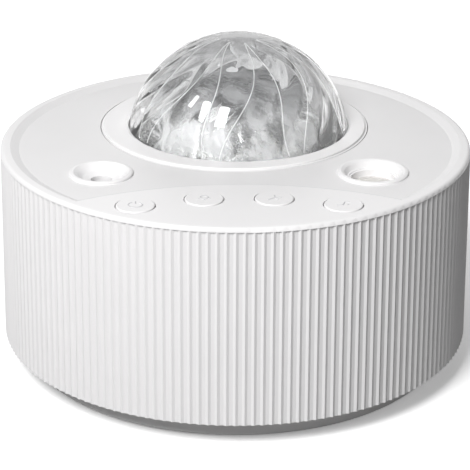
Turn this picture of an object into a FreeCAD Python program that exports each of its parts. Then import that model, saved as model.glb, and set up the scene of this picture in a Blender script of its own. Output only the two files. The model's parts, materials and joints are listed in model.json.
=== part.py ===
import FreeCAD, Part
import math
import os

import Sketcher
from FreeCAD import Vector

# Star night light projector: a fluted drum with a clear dome, two light ports and four push buttons.
# Millimetres, +Z up, buttons towards -Y, origin at the middle of the footprint on the table.

SIZES = {
    # Drum wall: a slightly tapered tube with sharp-crested vertical flutes
    "drum_radius": 82.5,
    "drum_flare": 0.8,
    "drum_top": 77.1,
    "drum_bottom": 8.9,
    "flute_count": 174,
    "flute_depth": 0.45,
    "flute_flank": 0.3,
    "shell_wall": 2.4,
    "flange_thickness": 2.4,
    # Screw posts that carry the deck inside the drum
    "post_inset": 10.0,
    "post_radius": 4.5,
    "post_turn": 45.0,
    "screw_radius": 1.5,
    "screw_head_radius": 2.8,
    "screw_head_height": 2.0,
    "screw_clearance": 0.15,
    "screw_bite": 12.0,
    # Plinth and floor
    "base_lift": 1.0,
    "plinth_step": 6.9,
    "plinth_wall": 2.2,
    "floor_thickness": 2.4,
    "plinth_round": 0.8,
    "spigot_wall": 2.2,
    "spigot_rise": 1.6,
    "screw_well_depth": 3.6,
    "foot_margin": 13.6,
    "foot_radius": 7.0,
    "foot_inset": 1.0,
    # Rim, sunk plate and control panel
    "rim_height": 1.5,
    "rim_round": 1.4,
    "rim_width": 3.5,
    "recess_slope": 3.0,
    "recess_depth": 1.2,
    "panel_arc_radius": 105.4,
    "panel_depth": 38.3,
    "panel_slope": 1.0,
    "plate_thickness": 2.6,
    "fit_gap": 0.3,
    # Dome, its flange and the ring that clamps it
    "dome_y": 19.0,
    "dome_radius": 41.5,
    "dome_centre_drop": 6.8,
    "dome_wall": 2.4,
    "dome_lobes": 16,
    "dome_lobe_depth": 0.5,
    "dome_twist": 34.0,
    "dome_levels": 10,
    "dome_crown_angle": 4.0,
    "dome_flange_radius": 45.7,
    "dome_flange_thickness": 1.5,
    "ring_radius": 48.0,
    "ring_rise": 0.8,
    "ring_seat_depth": 1.8,
    "ring_ease": 0.4,
    "ring_slope": 1.1,
    "lip_wall": 3.3,
    "lip_ledge": 3.0,
    "lip_floor": 1.6,
    # Gears, module and tooth counts
    "gear_module": 1.0,
    "turntable_teeth": 84,
    "pinion_teeth": 14,
    "wheel_teeth": 40,
    "tooth_thinning": 0.12,
    "tooth_addendum": 0.92,
    "tooth_dedendum": 1.15,
    "pressure_angle": 20.0,
    "gear_bottom": 60.0,
    "gear_thickness": 4.0,
    "wheel_bearing": 234.5,
    "running_gap": 0.05,
    "end_play": 0.2,
    # Deck and lamp tube
    "deck_bottom": 44.0,
    "deck_thickness": 2.4,
    "deck_clearance": 6.5,
    "deck_rib": 1.5,
    "deck_rib_height": 2.0,
    "lamp_tube_radius": 17.0,
    "lamp_tube_bore": 14.5,
    "lamp_shoulder": 20.0,
    "hub_wall": 2.9,
    "hub_rise": 2.1,
    "wheel_boss_radius": 3.4,
    "wheel_pin_radius": 1.5,
    "wheel_pin_head": 3.0,
    # Turntable and wave lens
    "turntable_web": 2.0,
    "turntable_rim_bore": 31.5,
    "turntable_windows": 6,
    "window_radius": 4.6,
    "wave_radius": 35.6,
    "wave_wall": 1.8,
    "wave_ribs": 28,
    "wave_rib_depth": 0.9,
    "wave_rib_flank": 0.4,
    "wave_height": 34.0,
    "wave_crown_angle": 82.0,
    "wave_levels": 5,
    # Lamp
    "sink_radius": 18.6,
    "sink_thickness": 2.5,
    "sink_spigot": 5.0,
    "sink_fins": 4,
    "sink_fin_pitch": 5.0,
    "sink_fin_length": 18.8,
    "board_thickness": 1.6,
    "led_board_radius": 17.0,
    "led_side": 3.5,
    "led_height": 1.2,
    "led_ring": 8.0,
    "led_count": 4,
    "cluster_radius": 16.0,
    "cluster_wall": 1.4,
    "cluster_leg": 1.8,
    "cluster_plate": 1.2,
    "cluster_bead": 3.8,
    "cluster_bead_top": 2.4,
    "cluster_bead_rise": 2.3,
    # Motor
    "motor_radius": 12.0,
    "motor_height": 14.0,
    "motor_boss_radius": 4.8,
    "motor_boss_height": 1.4,
    "motor_ear_ring": 15.0,
    "motor_ear_radius": 3.4,
    "motor_ear_thickness": 1.2,
    "shaft_radius": 1.5,
    "shaft_depth": 6.0,
    "pinion_hub_radius": 4.2,
    "pinion_hub_height": 4.5,
    "pinion_overlap": 0.5,
    # Star wheel
    "wheel_hub_radius": 5.0,
    "wheel_rim_bore": 16.4,
    "film_seat": 1.2,
    "film_edge": 1.3,
    "film_thickness": 0.3,
    "film_star_radius": 1.5,
    "film_stars": 9,
    "film_star_ring": 10.5,
    "film_star_waist": 0.45,
    "spoke_width": 3.0,
    # Laser
    "laser_radius": 4.5,
    "laser_height": 12.0,
    "laser_bracket_side": 12.0,
    "laser_bracket_height": 7.0,
    # Light ports
    "port_x": 46.0,
    "port_y": -30.8,
    "star_lip_radius": 11.5,
    "star_bowl_radius": 8.6,
    "star_barrel_radius": 10.4,
    "star_bowl_depth": 3.2,
    "star_bowl_waist": 7.2,
    "star_bowl_floor": 5.3,
    "star_aperture": 3.6,
    "star_barrel_length": 7.0,
    "star_window_radius": 5.0,
    "port_lip_rise": 1.0,
    "port_lip_round": 0.45,
    "moon_lip_radius": 12.1,
    "moon_mouth_radius": 10.3,
    "moon_barrel_radius": 10.9,
    "moon_well_radius": 8.6,
    "moon_well_depth": 3.0,
    "moon_ledge_radius": 7.3,
    "moon_collar_length": 5.4,
    "moon_lens_radius": 8.0,
    "moon_lens_edge": 1.3,
    "moon_lens_crown": 1.2,
    "moon_tube_radius": 9.8,
    "moon_tube_bore": 7.4,
    "moon_slide_height": 12.0,
    "moon_slide_thickness": 1.0,
    "moon_slide_ledge": 1.2,
    "moon_board_radius": 11.5,
    # Buttons, switches and control board
    "button_radius": 6.4,
    "button_gap": 0.35,
    "button_rise": 0.4,
    "button_round": 0.5,
    "button_flange": 0.9,
    "button_flange_thickness": 1.1,
    "button_row_inset": 12.2,
    "button_inner_x": 11.471,
    "button_outer_x": 33.704,
    "button_stem_radius": 2.2,
    "button_stem_length": 3.2,
    "button_travel": 0.5,
    "plunger_radius": 1.7,
    "plunger_rise": 0.8,
    "plunger_depth": 0.8,
    "switch_side": 6.2,
    "switch_height": 3.5,
    "control_board_x": 38.0,
    "control_board_setback": 9.4,
    "control_board_depth": 12.4,
    "control_board_tip": 4.0,
    "control_board_tip_x": 30.0,
    "control_post_x": 22.6,
    "control_post_setback": 17.0,
    "control_post_radius": 2.8,
    # Top cover's posts stand on the deck
    "top_post_radius": 4.0,
    "top_post_rear_turn": 30.0,
    "top_post_front_turn": -20.0,
    # Power socket at the rear
    "socket_height": 22.0,
    "socket_width": 8.94,
    "socket_thick": 3.26,
    "socket_wall": 0.35,
    "socket_depth": 8.8,
    "tongue_width": 6.3,
    "tongue_length": 7.0,
    "tongue_thickness": 0.7,
    "socket_recess_width": 15.0,
    "socket_recess_height": 9.5,
    "socket_recess_round": 1.5,
    "socket_inset": 4.2,
    "socket_sleeve": 1.5,
    "socket_board_width": 18.0,
    "socket_board_depth": 16.0,
    "socket_post_x": 6.5,
    "socket_post_back": 12.3,
    "socket_post_radius": 2.0,
    # Main board
    "main_board_x": -30.0,
    "main_board_y": 9.0,
    "main_board_width": 44.0,
    "main_board_depth": 38.0,
    "main_board_height": 16.0,
    "main_board_inset": 3.0,
    "standoff_radius": 2.6,
    "chip_side": 7.8,
    "chip_spacing": 12.5,
    "capacitor_radius": 3.9,
    "capacitor_height": 7.8,
    # Speaker
    "speaker_x": 28.0,
    "speaker_radius": 20.5,
    "speaker_rim": 2.2,
    "gasket_width": 3.5,
    "gasket_thickness": 1.0,
    "basket_wall": 0.9,
    "basket_height": 9.6,
    "basket_neck": 12.0,
    "magnet_radius": 11.0,
    "magnet_height": 6.0,
    "cone_thickness": 0.6,
    "cone_depth": 5.3,
    "grille_hole": 1.4,
    "grille_pitch": 5.6,
    "grille_rings": 2,
}

SCREW_POST_TURNS = (0, 90, 180, 270)
BUTTONS = (
    ("power", -1, "button_outer_x"),
    ("light", -1, "button_inner_x"),
    ("star", 1, "button_inner_x"),
    ("sound", 1, "button_outer_x"),
)

doc = FreeCAD.newDocument("StarProjector")
sheet = doc.addObject("Spreadsheet::Sheet", "Sizes")
parts = []


class Size:
    """A number together with the formula that gives it on the sheet."""

    def __init__(self, number, formula):
        self.number = float(number)
        self.formula = formula

    def __add__(self, other):
        other = as_size(other)
        return Size(self.number + other.number, f"({self.formula} + {other.formula})")

    def __sub__(self, other):
        other = as_size(other)
        return Size(self.number - other.number, f"({self.formula} - {other.formula})")

    def __mul__(self, other):
        other = as_size(other)
        return Size(self.number * other.number, f"({self.formula} * {other.formula})")

    def __truediv__(self, other):
        other = as_size(other)
        return Size(self.number / other.number, f"({self.formula} / {other.formula})")

    def __neg__(self):
        return self * -1

    def __radd__(self, other):
        return as_size(other) + self

    def __rsub__(self, other):
        return as_size(other) - self

    def __rmul__(self, other):
        return as_size(other) * self


def as_size(value):
    """A plain number becomes a size whose formula is the number itself."""
    if isinstance(value, Size):
        return value
    return Size(value, f"({value:.9f})")


class SheetSizes:
    """The sheet's sizes by name."""


def fill_sheet():
    sizes = SheetSizes()
    for row, (name, number) in enumerate(SIZES.items(), start=1):
        sheet.set(f"A{row}", name)
        sheet.set(f"B{row}", str(number))
        sheet.setAlias(f"B{row}", name)
        setattr(sizes, name, Size(number, f"Sizes.{name}"))
    doc.recompute()
    return sizes


def bind(thing, path, size):
    thing.setExpression(path, as_size(size).formula)


def polar(radius, degrees, x=0, y=0):
    """A point at a radius and a bearing from +X, about a centre."""
    turn = math.radians(degrees)
    return x + radius * math.cos(turn), y + radius * math.sin(turn)


# Sketch outlines: each one returns a function that draws it and ties it to the sheet

def tie_points(sketch, ties):
    """Hold each listed point at its sizes from the sketch's origin."""
    constraints = []
    sizes = []
    for geometry, end, x, y in ties:
        for kind, size in (("DistanceX", as_size(x)), ("DistanceY", as_size(y))):
            constraints.append(Sketcher.Constraint(kind, -1, 1, geometry, end, size.number))
            sizes.append(size)
    for index, size in zip(sketch.addConstraint(constraints), sizes):
        bind(sketch, f"Constraints[{index}]", size)


def tie_radius(sketch, geometry, radius):
    index = sketch.addConstraint(Sketcher.Constraint("Radius", geometry, radius.number))
    bind(sketch, f"Constraints[{index}]", radius)


def circle(x, y, radius):
    x, y, radius = as_size(x), as_size(y), as_size(radius)

    def draw(sketch):
        shape = Part.Circle(Vector(x.number, y.number, 0), Vector(0, 0, 1), radius.number)
        geometry = sketch.addGeometry(shape, False)
        tie_points(sketch, [(geometry, 3, x, y)])
        tie_radius(sketch, geometry, radius)
    return draw


def polygon(points):
    corners = [(as_size(x), as_size(y)) for x, y in points]

    def draw(sketch):
        first = sketch.GeometryCount
        count = len(corners)
        spots = [Vector(x.number, y.number, 0) for x, y in corners]
        for index, spot in enumerate(spots):
            sketch.addGeometry(Part.LineSegment(spot, spots[(index + 1) % count]), False)
        joins = [Sketcher.Constraint("Coincident", first + index, 2, first + (index + 1) % count, 1)
                 for index in range(count)]
        sketch.addConstraint(joins)
        tie_points(sketch, [(first + index, 1, x, y) for index, (x, y) in enumerate(corners)])
    return draw


def box(x, y, width, depth):
    """A rectangle about its centre."""
    half_width = as_size(width) / 2
    half_depth = as_size(depth) / 2
    return polygon([(x - half_width, y - half_depth), (x + half_width, y - half_depth),
                    (x + half_width, y + half_depth), (x - half_width, y + half_depth)])


def lens_recess(radius, arc_radius, arc_back):
    """The drum's disc without the panel: a long arc round the back and a short one in front."""
    def draw(sketch):
        back = arc_back.number
        cut_y = -(radius.number ** 2 - arc_radius.number ** 2 + back ** 2) / (2 * back)
        cut_x = math.sqrt(radius.number ** 2 - cut_y ** 2)
        rim_turn = math.atan2(cut_y, cut_x)
        front_turn = math.atan2(cut_y + back, cut_x)
        up = Vector(0, 0, 1)
        rim = Part.ArcOfCircle(Part.Circle(Vector(0, 0, 0), up, radius.number),
                               rim_turn, math.pi - rim_turn)
        front = Part.ArcOfCircle(Part.Circle(Vector(0, -back, 0), up, arc_radius.number),
                                 front_turn, math.pi - front_turn)
        first = sketch.addGeometry([rim, front], False)[0]
        sketch.addConstraint([
            Sketcher.Constraint("Coincident", first, 3, -1, 1),
            Sketcher.Constraint("Coincident", first, 1, first + 1, 1),
            Sketcher.Constraint("Coincident", first, 2, first + 1, 2),
        ])
        tie_points(sketch, [(first + 1, 3, 0, -arc_back)])
        tie_radius(sketch, first, radius)
        tie_radius(sketch, first + 1, arc_radius)
    return draw


# Features of a body

def new_body(label, x=0, y=0, z=0):
    """A body whose own origin stands at a place given by sizes."""
    body = doc.addObject("PartDesign::Body", label)
    body.Label = label
    body.AllowCompound = True
    for axis, size in (("x", x), ("y", y), ("z", z)):
        bind(body, f"Placement.Base.{axis}", size)
    parts.append(body)
    return body


def new_sketch(body, plane, outlines, height=0):
    sketch = body.newObject("Sketcher::SketchObject", body.Name + "_sketch")
    support = next(item for item in body.Origin.OriginFeatures if item.Role == plane)
    sketch.AttachmentSupport = [(support, "")]
    sketch.MapMode = "FlatFace"
    bind(sketch, "AttachmentOffset.Base.z", height)
    for draw in outlines:
        draw(sketch)
    return sketch


def revolve(body, points):
    """Turn a half profile of (radius, height) corners about the body's upright axis."""
    sketch = new_sketch(body, "XZ_Plane", [polygon(points)])
    feature = body.newObject("PartDesign::Revolution", body.Name + "_turned")
    feature.Profile = sketch
    feature.ReferenceAxis = (sketch, ["V_Axis"])
    feature.Angle = 360
    return feature


def pad(body, outlines, bottom, top):
    sketch = new_sketch(body, "XY_Plane", outlines, bottom)
    feature = body.newObject("PartDesign::Pad", body.Name + "_pad")
    feature.Profile = sketch
    bind(feature, "Length", as_size(top) - bottom)
    return feature


def pocket(body, outlines, top, bottom):
    """Cut from a height down to a lower one."""
    sketch = new_sketch(body, "XY_Plane", outlines, top)
    feature = body.newObject("PartDesign::Pocket", body.Name + "_pocket")
    feature.Profile = sketch
    bind(feature, "Length", as_size(top) - bottom)
    return feature


def ring_edges(feature, radius, height):
    """Names of the circular edges of one radius at one height."""
    doc.recompute()
    found = []
    for index, edge in enumerate(feature.Shape.Edges, start=1):
        curve = edge.Curve
        if isinstance(curve, Part.Circle) and abs(curve.Radius - radius) < 0.001:
            if abs(curve.Center.z - height) < 0.001:
                found.append(f"Edge{index}")
    return found


def ease_edge(body, kind, feature, radius, height, size):
    """Round ("Fillet") or bevel ("Chamfer") the circular edges of one radius at one height."""
    eased = body.newObject("PartDesign::" + kind, body.Name + "_eased")
    eased.Base = (feature, ring_edges(feature, as_size(radius).number, as_size(height).number))
    bind(eased, "Radius" if kind == "Fillet" else "Size", size)
    return eased


def free_part(label, shape, x=0, y=0, z=0):
    """A sub-part whose shape is worked out by formula, set down at a place."""
    part = doc.addObject("Part::Feature", label)
    part.Label = label
    part.Shape = shape
    for axis, size in (("x", x), ("y", y), ("z", z)):
        bind(part, f"Placement.Base.{axis}", size)
    parts.append(part)
    return part


d = fill_sheet()

# Radii, heights and places that several pieces share
deck_radius = d.drum_radius - d.deck_clearance
post_ring = deck_radius - d.post_inset
plinth_radius = d.drum_radius - d.plinth_step
foot_ring = plinth_radius - d.foot_margin
socket_face = d.drum_radius - d.socket_inset
panel_edge = d.panel_depth - d.drum_radius
panel_arc_back = d.panel_arc_radius - panel_edge
rim_top = d.drum_top + d.rim_height
plate_top = rim_top - d.recess_depth
plate_bottom = plate_top - d.plate_thickness
floor_top = d.base_lift + d.floor_thickness
flange_top = d.drum_bottom + d.flange_thickness
deck_top = d.deck_bottom + d.deck_thickness
shoulder_top = d.gear_bottom - d.end_play
gear_top = d.gear_bottom + d.gear_thickness
hub_top = d.gear_bottom + d.gear_thickness + d.hub_rise
lamp_tube_top = hub_top + d.fit_gap
pinion_y = d.dome_y - d.gear_module * (d.turntable_teeth + d.pinion_teeth) / 2
wheel_span = d.gear_module * (d.turntable_teeth + d.wheel_teeth) / 2
wheel_x, wheel_y = polar(wheel_span, d.wheel_bearing.number, 0, d.dome_y)
screw_hole = d.screw_radius + d.screw_clearance
flange_bore = post_ring - d.post_radius
post_places = [polar(post_ring, d.post_turn.number + turn) for turn in SCREW_POST_TURNS]
top_post_places = [polar(post_ring, bearing) for bearing in (
    d.top_post_rear_turn.number, 180 - d.top_post_rear_turn.number,
    d.top_post_front_turn.number, 180 - d.top_post_front_turn.number)]
control_post_places = [(d.control_post_x * side, panel_edge - d.control_post_setback)
                       for side in (-1, 1)]
ring_seat = plate_top - d.ring_seat_depth
flange_seat = ring_seat - d.lip_floor
lip_bottom = flange_seat - d.lip_floor
dome_centre = plate_top - d.dome_centre_drop
button_flange_top = plate_bottom - d.fit_gap
button_flange_bottom = button_flange_top - d.button_flange_thickness
stem_bottom = button_flange_bottom - d.button_stem_length
switch_top = stem_bottom - d.plunger_rise
control_board_top = switch_top - d.switch_height
control_board_bottom = control_board_top - d.board_thickness
moon_collar_bottom = plate_top - d.moon_collar_length
star_collar_bottom = plate_top - d.star_barrel_length
socket_board_top = d.socket_height - d.socket_thick / 2
socket_board_bottom = socket_board_top - d.board_thickness
main_board_top = d.main_board_height + d.board_thickness


def root(size):
    """The square root of a size."""
    return Size(math.sqrt(size.number), f"sqrt({size.formula})")


def button_place(side, reach):
    """The buttons lie on an arc about the centre of the panel's edge, at a reach to either side."""
    arc = d.panel_arc_radius - d.button_row_inset
    return reach * side, root(arc * arc - reach * reach) - panel_arc_back


# Outer shells

def ringed_solid(rings):
    """A flat-faced solid between rings that have as many points each, closed by the end rings."""
    faces = [Part.Face(Part.makePolygon(ring + ring[:1])) for ring in (rings[0], rings[-1])]
    for low, high in zip(rings, rings[1:]):
        for index in range(len(low)):
            after = (index + 1) % len(low)
            corners = [low[index], low[after], high[after], high[index], low[index]]
            faces.append(Part.Face(Part.makePolygon(corners)))
    shell = Part.makeShell(faces)
    shell.sewShape()
    return Part.makeSolid(shell)


def grooved_ring(radius, depth, count, flank, height):
    """Points of a ring of grooves whose sharp crests stand on the radius; flank is a groove side's share."""
    step = 2 * math.pi / count
    spots = []
    for index in range(count):
        for share, reach in ((0, radius), (flank, radius - depth), (1 - flank, radius - depth)):
            turn = step * (index + share)
            spots.append(Vector(reach * math.cos(turn), reach * math.sin(turn), height))
    return spots


def make_body_shell():
    top_radius = d.drum_radius.number
    bottom_radius = (d.drum_radius + d.drum_flare).number
    bottom = d.drum_bottom.number
    height = (d.drum_top - d.drum_bottom).number
    depth = d.flute_depth.number
    wall = (d.shell_wall + d.flute_depth).number
    count = int(d.flute_count.number)
    shell = ringed_solid([
        grooved_ring(reach, depth * reach / top_radius, count, d.flute_flank.number, level)
        for reach, level in ((bottom_radius, bottom), (top_radius, bottom + height))])
    flange = d.flange_thickness.number
    slope = d.drum_flare.number / height
    cavity = Part.makeCone(bottom_radius - wall - slope * flange, top_radius - wall,
                           height - flange, Vector(0, 0, bottom + flange))
    shell = shell.cut(cavity)
    shell = shell.cut(Part.makeCylinder(flange_bore.number, flange, Vector(0, 0, bottom)))
    pieces = []
    cuts = []
    for x, y in post_places:
        foot = Vector(x.number, y.number, bottom)
        length = (d.deck_bottom - d.drum_bottom).number
        pieces.append(Part.makeCylinder(d.post_radius.number, length, foot))
        cuts.append(Part.makeCylinder(screw_hole.number, length, foot))
    for side in (-1, 1):
        foot = Vector(side * d.socket_post_x.number, (socket_face - d.socket_post_back).number,
                      flange_top.number)
        length = (socket_board_bottom - flange_top).number
        pieces.append(Part.makeCylinder(d.socket_post_radius.number, length, foot))
    sleeve, mouth = socket_sleeve()
    pieces.append(sleeve.common(Part.makeCylinder(top_radius - depth, d.drum_top.number)))
    shell = shell.fuse(pieces).cut(cuts + mouth)
    return free_part("body_shell", shell.removeSplitter())


def socket_sleeve():
    """The moulded box behind the power socket's mouth, and what is cut out of it."""
    face = socket_face.number
    wall = d.socket_sleeve.number
    width = d.socket_recess_width.number
    height = d.socket_recess_height.number
    middle = d.socket_height.number
    reach = (d.drum_radius + d.drum_flare).number - face + wall
    sleeve = Part.makeBox(width + 2 * wall, reach, height + 2 * wall,
                          Vector(-width / 2 - wall, face - wall, middle - height / 2 - wall))
    mouth = Part.makeBox(width, reach, height, Vector(-width / 2, face, middle - height / 2))
    upright = [edge for edge in mouth.Edges if abs(edge.tangentAt(edge.FirstParameter).y) > 0.9]
    mouth = mouth.makeFillet(d.socket_recess_round.number, upright)
    gap = d.fit_gap.number / 2
    slot = Part.makeBox(d.socket_width.number + 2 * gap, 2 * wall, d.socket_thick.number + 2 * gap,
                        Vector(-d.socket_width.number / 2 - gap, face - 1.5 * wall,
                               middle - d.socket_thick.number / 2 - gap))
    return sleeve, [mouth, slot]


def make_base_cover():
    body = new_body("base_cover")
    inner = plinth_radius - d.plinth_wall
    spigot = flange_bore - d.fit_gap
    revolve(body, [
        (0, d.base_lift), (plinth_radius - d.plinth_round, d.base_lift),
        (plinth_radius, d.base_lift + d.plinth_round), (plinth_radius, d.drum_bottom),
        (inner, d.drum_bottom), (inner, floor_top), (spigot, floor_top),
        (spigot, d.drum_bottom + d.spigot_rise), (spigot - d.spigot_wall, d.drum_bottom + d.spigot_rise),
        (spigot - d.spigot_wall, floor_top), (0, floor_top)])
    pad(body, [circle(x, y, d.post_radius) for x, y in post_places], floor_top, d.drum_bottom)
    pad(body, [circle(x, y, d.standoff_radius) for x, y in main_board_corners()],
        floor_top, d.main_board_height)
    pocket(body, [circle(x, y, d.screw_head_radius + d.fit_gap) for x, y in post_places],
           d.base_lift + d.screw_well_depth, d.base_lift)
    pocket(body, [circle(x, y, screw_hole) for x, y in post_places], d.drum_bottom, d.base_lift)
    pocket(body, [circle(x, y, screw_hole) for x, y in main_board_corners()],
           d.main_board_height, floor_top)
    pocket(body, [circle(x, y, d.foot_radius + d.fit_gap) for x, y in foot_places()],
           d.base_lift + d.foot_inset, d.base_lift)
    pocket(body, [circle(x, y, d.grille_hole) for x, y in grille_places()], floor_top, d.base_lift)


def foot_places():
    return [polar(foot_ring, turn) for turn in SCREW_POST_TURNS]


def main_board_corners():
    half_width = d.main_board_width / 2 - d.main_board_inset
    half_depth = d.main_board_depth / 2 - d.main_board_inset
    return [(d.main_board_x + half_width * side, d.main_board_y + half_depth * end)
            for side in (-1, 1) for end in (-1, 1)]


def grille_places():
    """Rings of holes under the speaker, six more in each ring."""
    places = [(d.speaker_x, as_size(0))]
    for ring in range(1, int(d.grille_rings.number) + 1):
        for step in range(6 * ring):
            places.append(polar(d.grille_pitch * ring, 60 * step / ring, d.speaker_x, 0))
    return places


def make_foot_pads():
    body = new_body("foot_pads")
    pads = pad(body, [circle(x, y, d.foot_radius) for x, y in foot_places()],
               0, d.base_lift + d.foot_inset)
    ease_edge(body, "Chamfer", pads, d.foot_radius, 0, d.ring_ease)


def make_screws(label, places, seat, reach, point_up):
    """Pan-head screws: a head against its seat and a shank that reaches past it."""
    body = new_body(label)
    side = 1 if point_up else -1
    head = (seat - d.screw_head_height * side, seat)
    shank = (seat, seat + reach * side)
    for radius, ends in ((d.screw_head_radius, head), (d.screw_radius, shank)):
        low, high = sorted(ends, key=lambda end: end.number)
        pad(body, [circle(x, y, radius) for x, y in places], low, high)


def make_top_cover():
    body = new_body("top_cover")
    plug = d.drum_radius - d.flute_depth - d.shell_wall - d.fit_gap
    turned = revolve(body, [(0, plate_bottom), (plug, plate_bottom), (plug, d.drum_top),
                            (d.drum_radius, d.drum_top), (d.drum_radius, rim_top), (0, rim_top)])
    ease_edge(body, "Fillet", turned, d.drum_radius, rim_top, d.rim_round)
    ledge = d.drum_radius - d.rim_width
    recess = body.newObject("PartDesign::SubtractiveLoft", "top_cover_recess")
    recess.Profile = new_sketch(
        body, "XY_Plane", [lens_recess(ledge, d.panel_arc_radius, panel_arc_back)], rim_top)
    recess.Sections = [new_sketch(
        body, "XY_Plane", [lens_recess(ledge - d.recess_slope, d.panel_arc_radius + d.panel_slope,
                                       panel_arc_back)], plate_top)]
    recess.Ruled = True
    pad(body, [circle(0, d.dome_y, d.dome_flange_radius + d.lip_wall)], lip_bottom, plate_bottom)
    pad(body, [circle(x, y, d.top_post_radius) for x, y in top_post_places], deck_top, plate_bottom)
    pad(body, [circle(x, y, d.control_post_radius) for x, y in control_post_places],
        control_board_top, plate_bottom)
    pocket(body, [circle(0, d.dome_y, d.ring_radius + d.fit_gap)], plate_top, ring_seat)
    pocket(body, [circle(0, d.dome_y, d.dome_flange_radius + d.fit_gap)], ring_seat, flange_seat)
    pocket(body, [circle(0, d.dome_y, d.dome_flange_radius - d.lip_ledge)], flange_seat, lip_bottom)
    pocket(body, [circle(-d.port_x, d.port_y, d.star_barrel_radius + d.fit_gap),
                  circle(d.port_x, d.port_y, d.moon_barrel_radius + d.fit_gap)],
           plate_top, plate_bottom)
    pocket(body, [circle(*button_place(side, getattr(d, reach)), d.button_radius + d.button_gap)
                  for name, side, reach in BUTTONS], rim_top, plate_bottom)
    pocket(body, [circle(x, y, screw_hole) for x, y in top_post_places],
           deck_top + d.screw_bite, deck_top)
    pocket(body, [circle(x, y, screw_hole) for x, y in control_post_places],
           plate_bottom, control_board_top)


# Dome

def lobed_wire(radius, depth, lobes, turn, height):
    """A closed ring of bulging arcs that meet in sharp valleys."""
    step = 2 * math.pi / lobes
    edges = []
    for index in range(lobes):
        start, middle, end = (step * (index + share) + turn for share in (0, 0.5, 1))
        spots = [Vector(reach * math.cos(angle), reach * math.sin(angle), height)
                 for angle, reach in ((start, radius - depth), (middle, radius), (end, radius - depth))]
        edges.append(Part.Arc(*spots).toShape())
    return Part.Wire(edges)


def make_dome():
    """A clear cap of twisted lobes with a flat flange under the clamping ring."""
    radius = d.dome_radius.number
    inner_radius = radius - d.dome_wall.number
    centre = dome_centre.number
    flange_bottom = flange_seat.number
    lowest = math.acos((flange_bottom - centre) / radius)
    crown = math.radians(d.dome_crown_angle.number)
    steps = int(d.dome_levels.number) - 1
    rings = []
    inner = []
    for level in range(steps + 1):
        share = level / steps
        slant = lowest + (crown - lowest) * share
        twist = math.radians(d.dome_twist.number) * share ** 2
        rings.append(lobed_wire(radius * math.sin(slant), d.dome_lobe_depth.number * math.sin(slant),
                                int(d.dome_lobes.number), twist, centre + radius * math.cos(slant)))
        inner.append(Vector(inner_radius * math.sin(slant), 0, centre + inner_radius * math.cos(slant)))
    flange = Part.makeCylinder(d.dome_flange_radius.number, d.dome_flange_thickness.number,
                               Vector(0, 0, flange_bottom))
    mouth = Vector(inner[0].x, 0, flange_bottom)
    corners = [Vector(0, 0, mouth.z), mouth] + inner[1:] + [Vector(0, 0, inner[-1].z)]
    hollow = Part.Face(Part.makePolygon(corners + corners[:1]))
    hollow = hollow.revolve(Vector(0, 0, 0), Vector(0, 0, 1), 360)
    shape = Part.makeLoft(rings, True, True).fuse(flange).cut(hollow)
    return free_part("dome", shape.removeSplitter(), 0, d.dome_y, 0)


def make_dome_ring():
    body = new_body("dome_ring", 0, d.dome_y, 0)
    inner = d.dome_radius + d.ring_ease
    top = plate_top + d.ring_rise
    revolve(body, [(inner, ring_seat), (d.ring_radius, ring_seat), (d.ring_radius, top - d.ring_ease),
                   (d.ring_radius - d.ring_ease, top), (inner + d.ring_slope, top),
                   (inner, top - d.ring_ease)])


def make_wave_lens():
    """A thin clear cap with ribs from its foot to its crown that turns under the dome."""
    base = gear_top.number
    wall = d.wave_wall.number
    crown = math.radians(d.wave_crown_angle.number)
    steps = int(d.wave_levels.number) - 1
    slants = [crown * level / steps for level in range(steps + 1)]

    def spot(radius, height, slant):
        return radius * math.cos(slant), base + height * math.sin(slant)

    rings = []
    for slant in slants:
        reach, level = spot(d.wave_radius.number, d.wave_height.number, slant)
        rings.append(grooved_ring(reach, d.wave_rib_depth.number * math.cos(slant),
                                  int(d.wave_ribs.number), d.wave_rib_flank.number, level))
    inner = [spot(d.wave_radius.number - wall, d.wave_height.number - wall, slant) for slant in slants]
    corners = [Vector(x, 0, z) for x, z in [(0, base)] + inner + [(0, inner[-1][1])]]
    hollow = Part.Face(Part.makePolygon(corners + corners[:1]))
    hollow = hollow.revolve(Vector(0, 0, 0), Vector(0, 0, 1), 360)
    return free_part("wave_lens", ringed_solid(rings).cut(hollow), 0, d.dome_y, 0)


# Gears

def involute_point(base_radius, roll):
    """Distance and bearing of an involute's point after a roll, in radians."""
    return base_radius * math.hypot(1, roll), roll - math.atan(roll)


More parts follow.
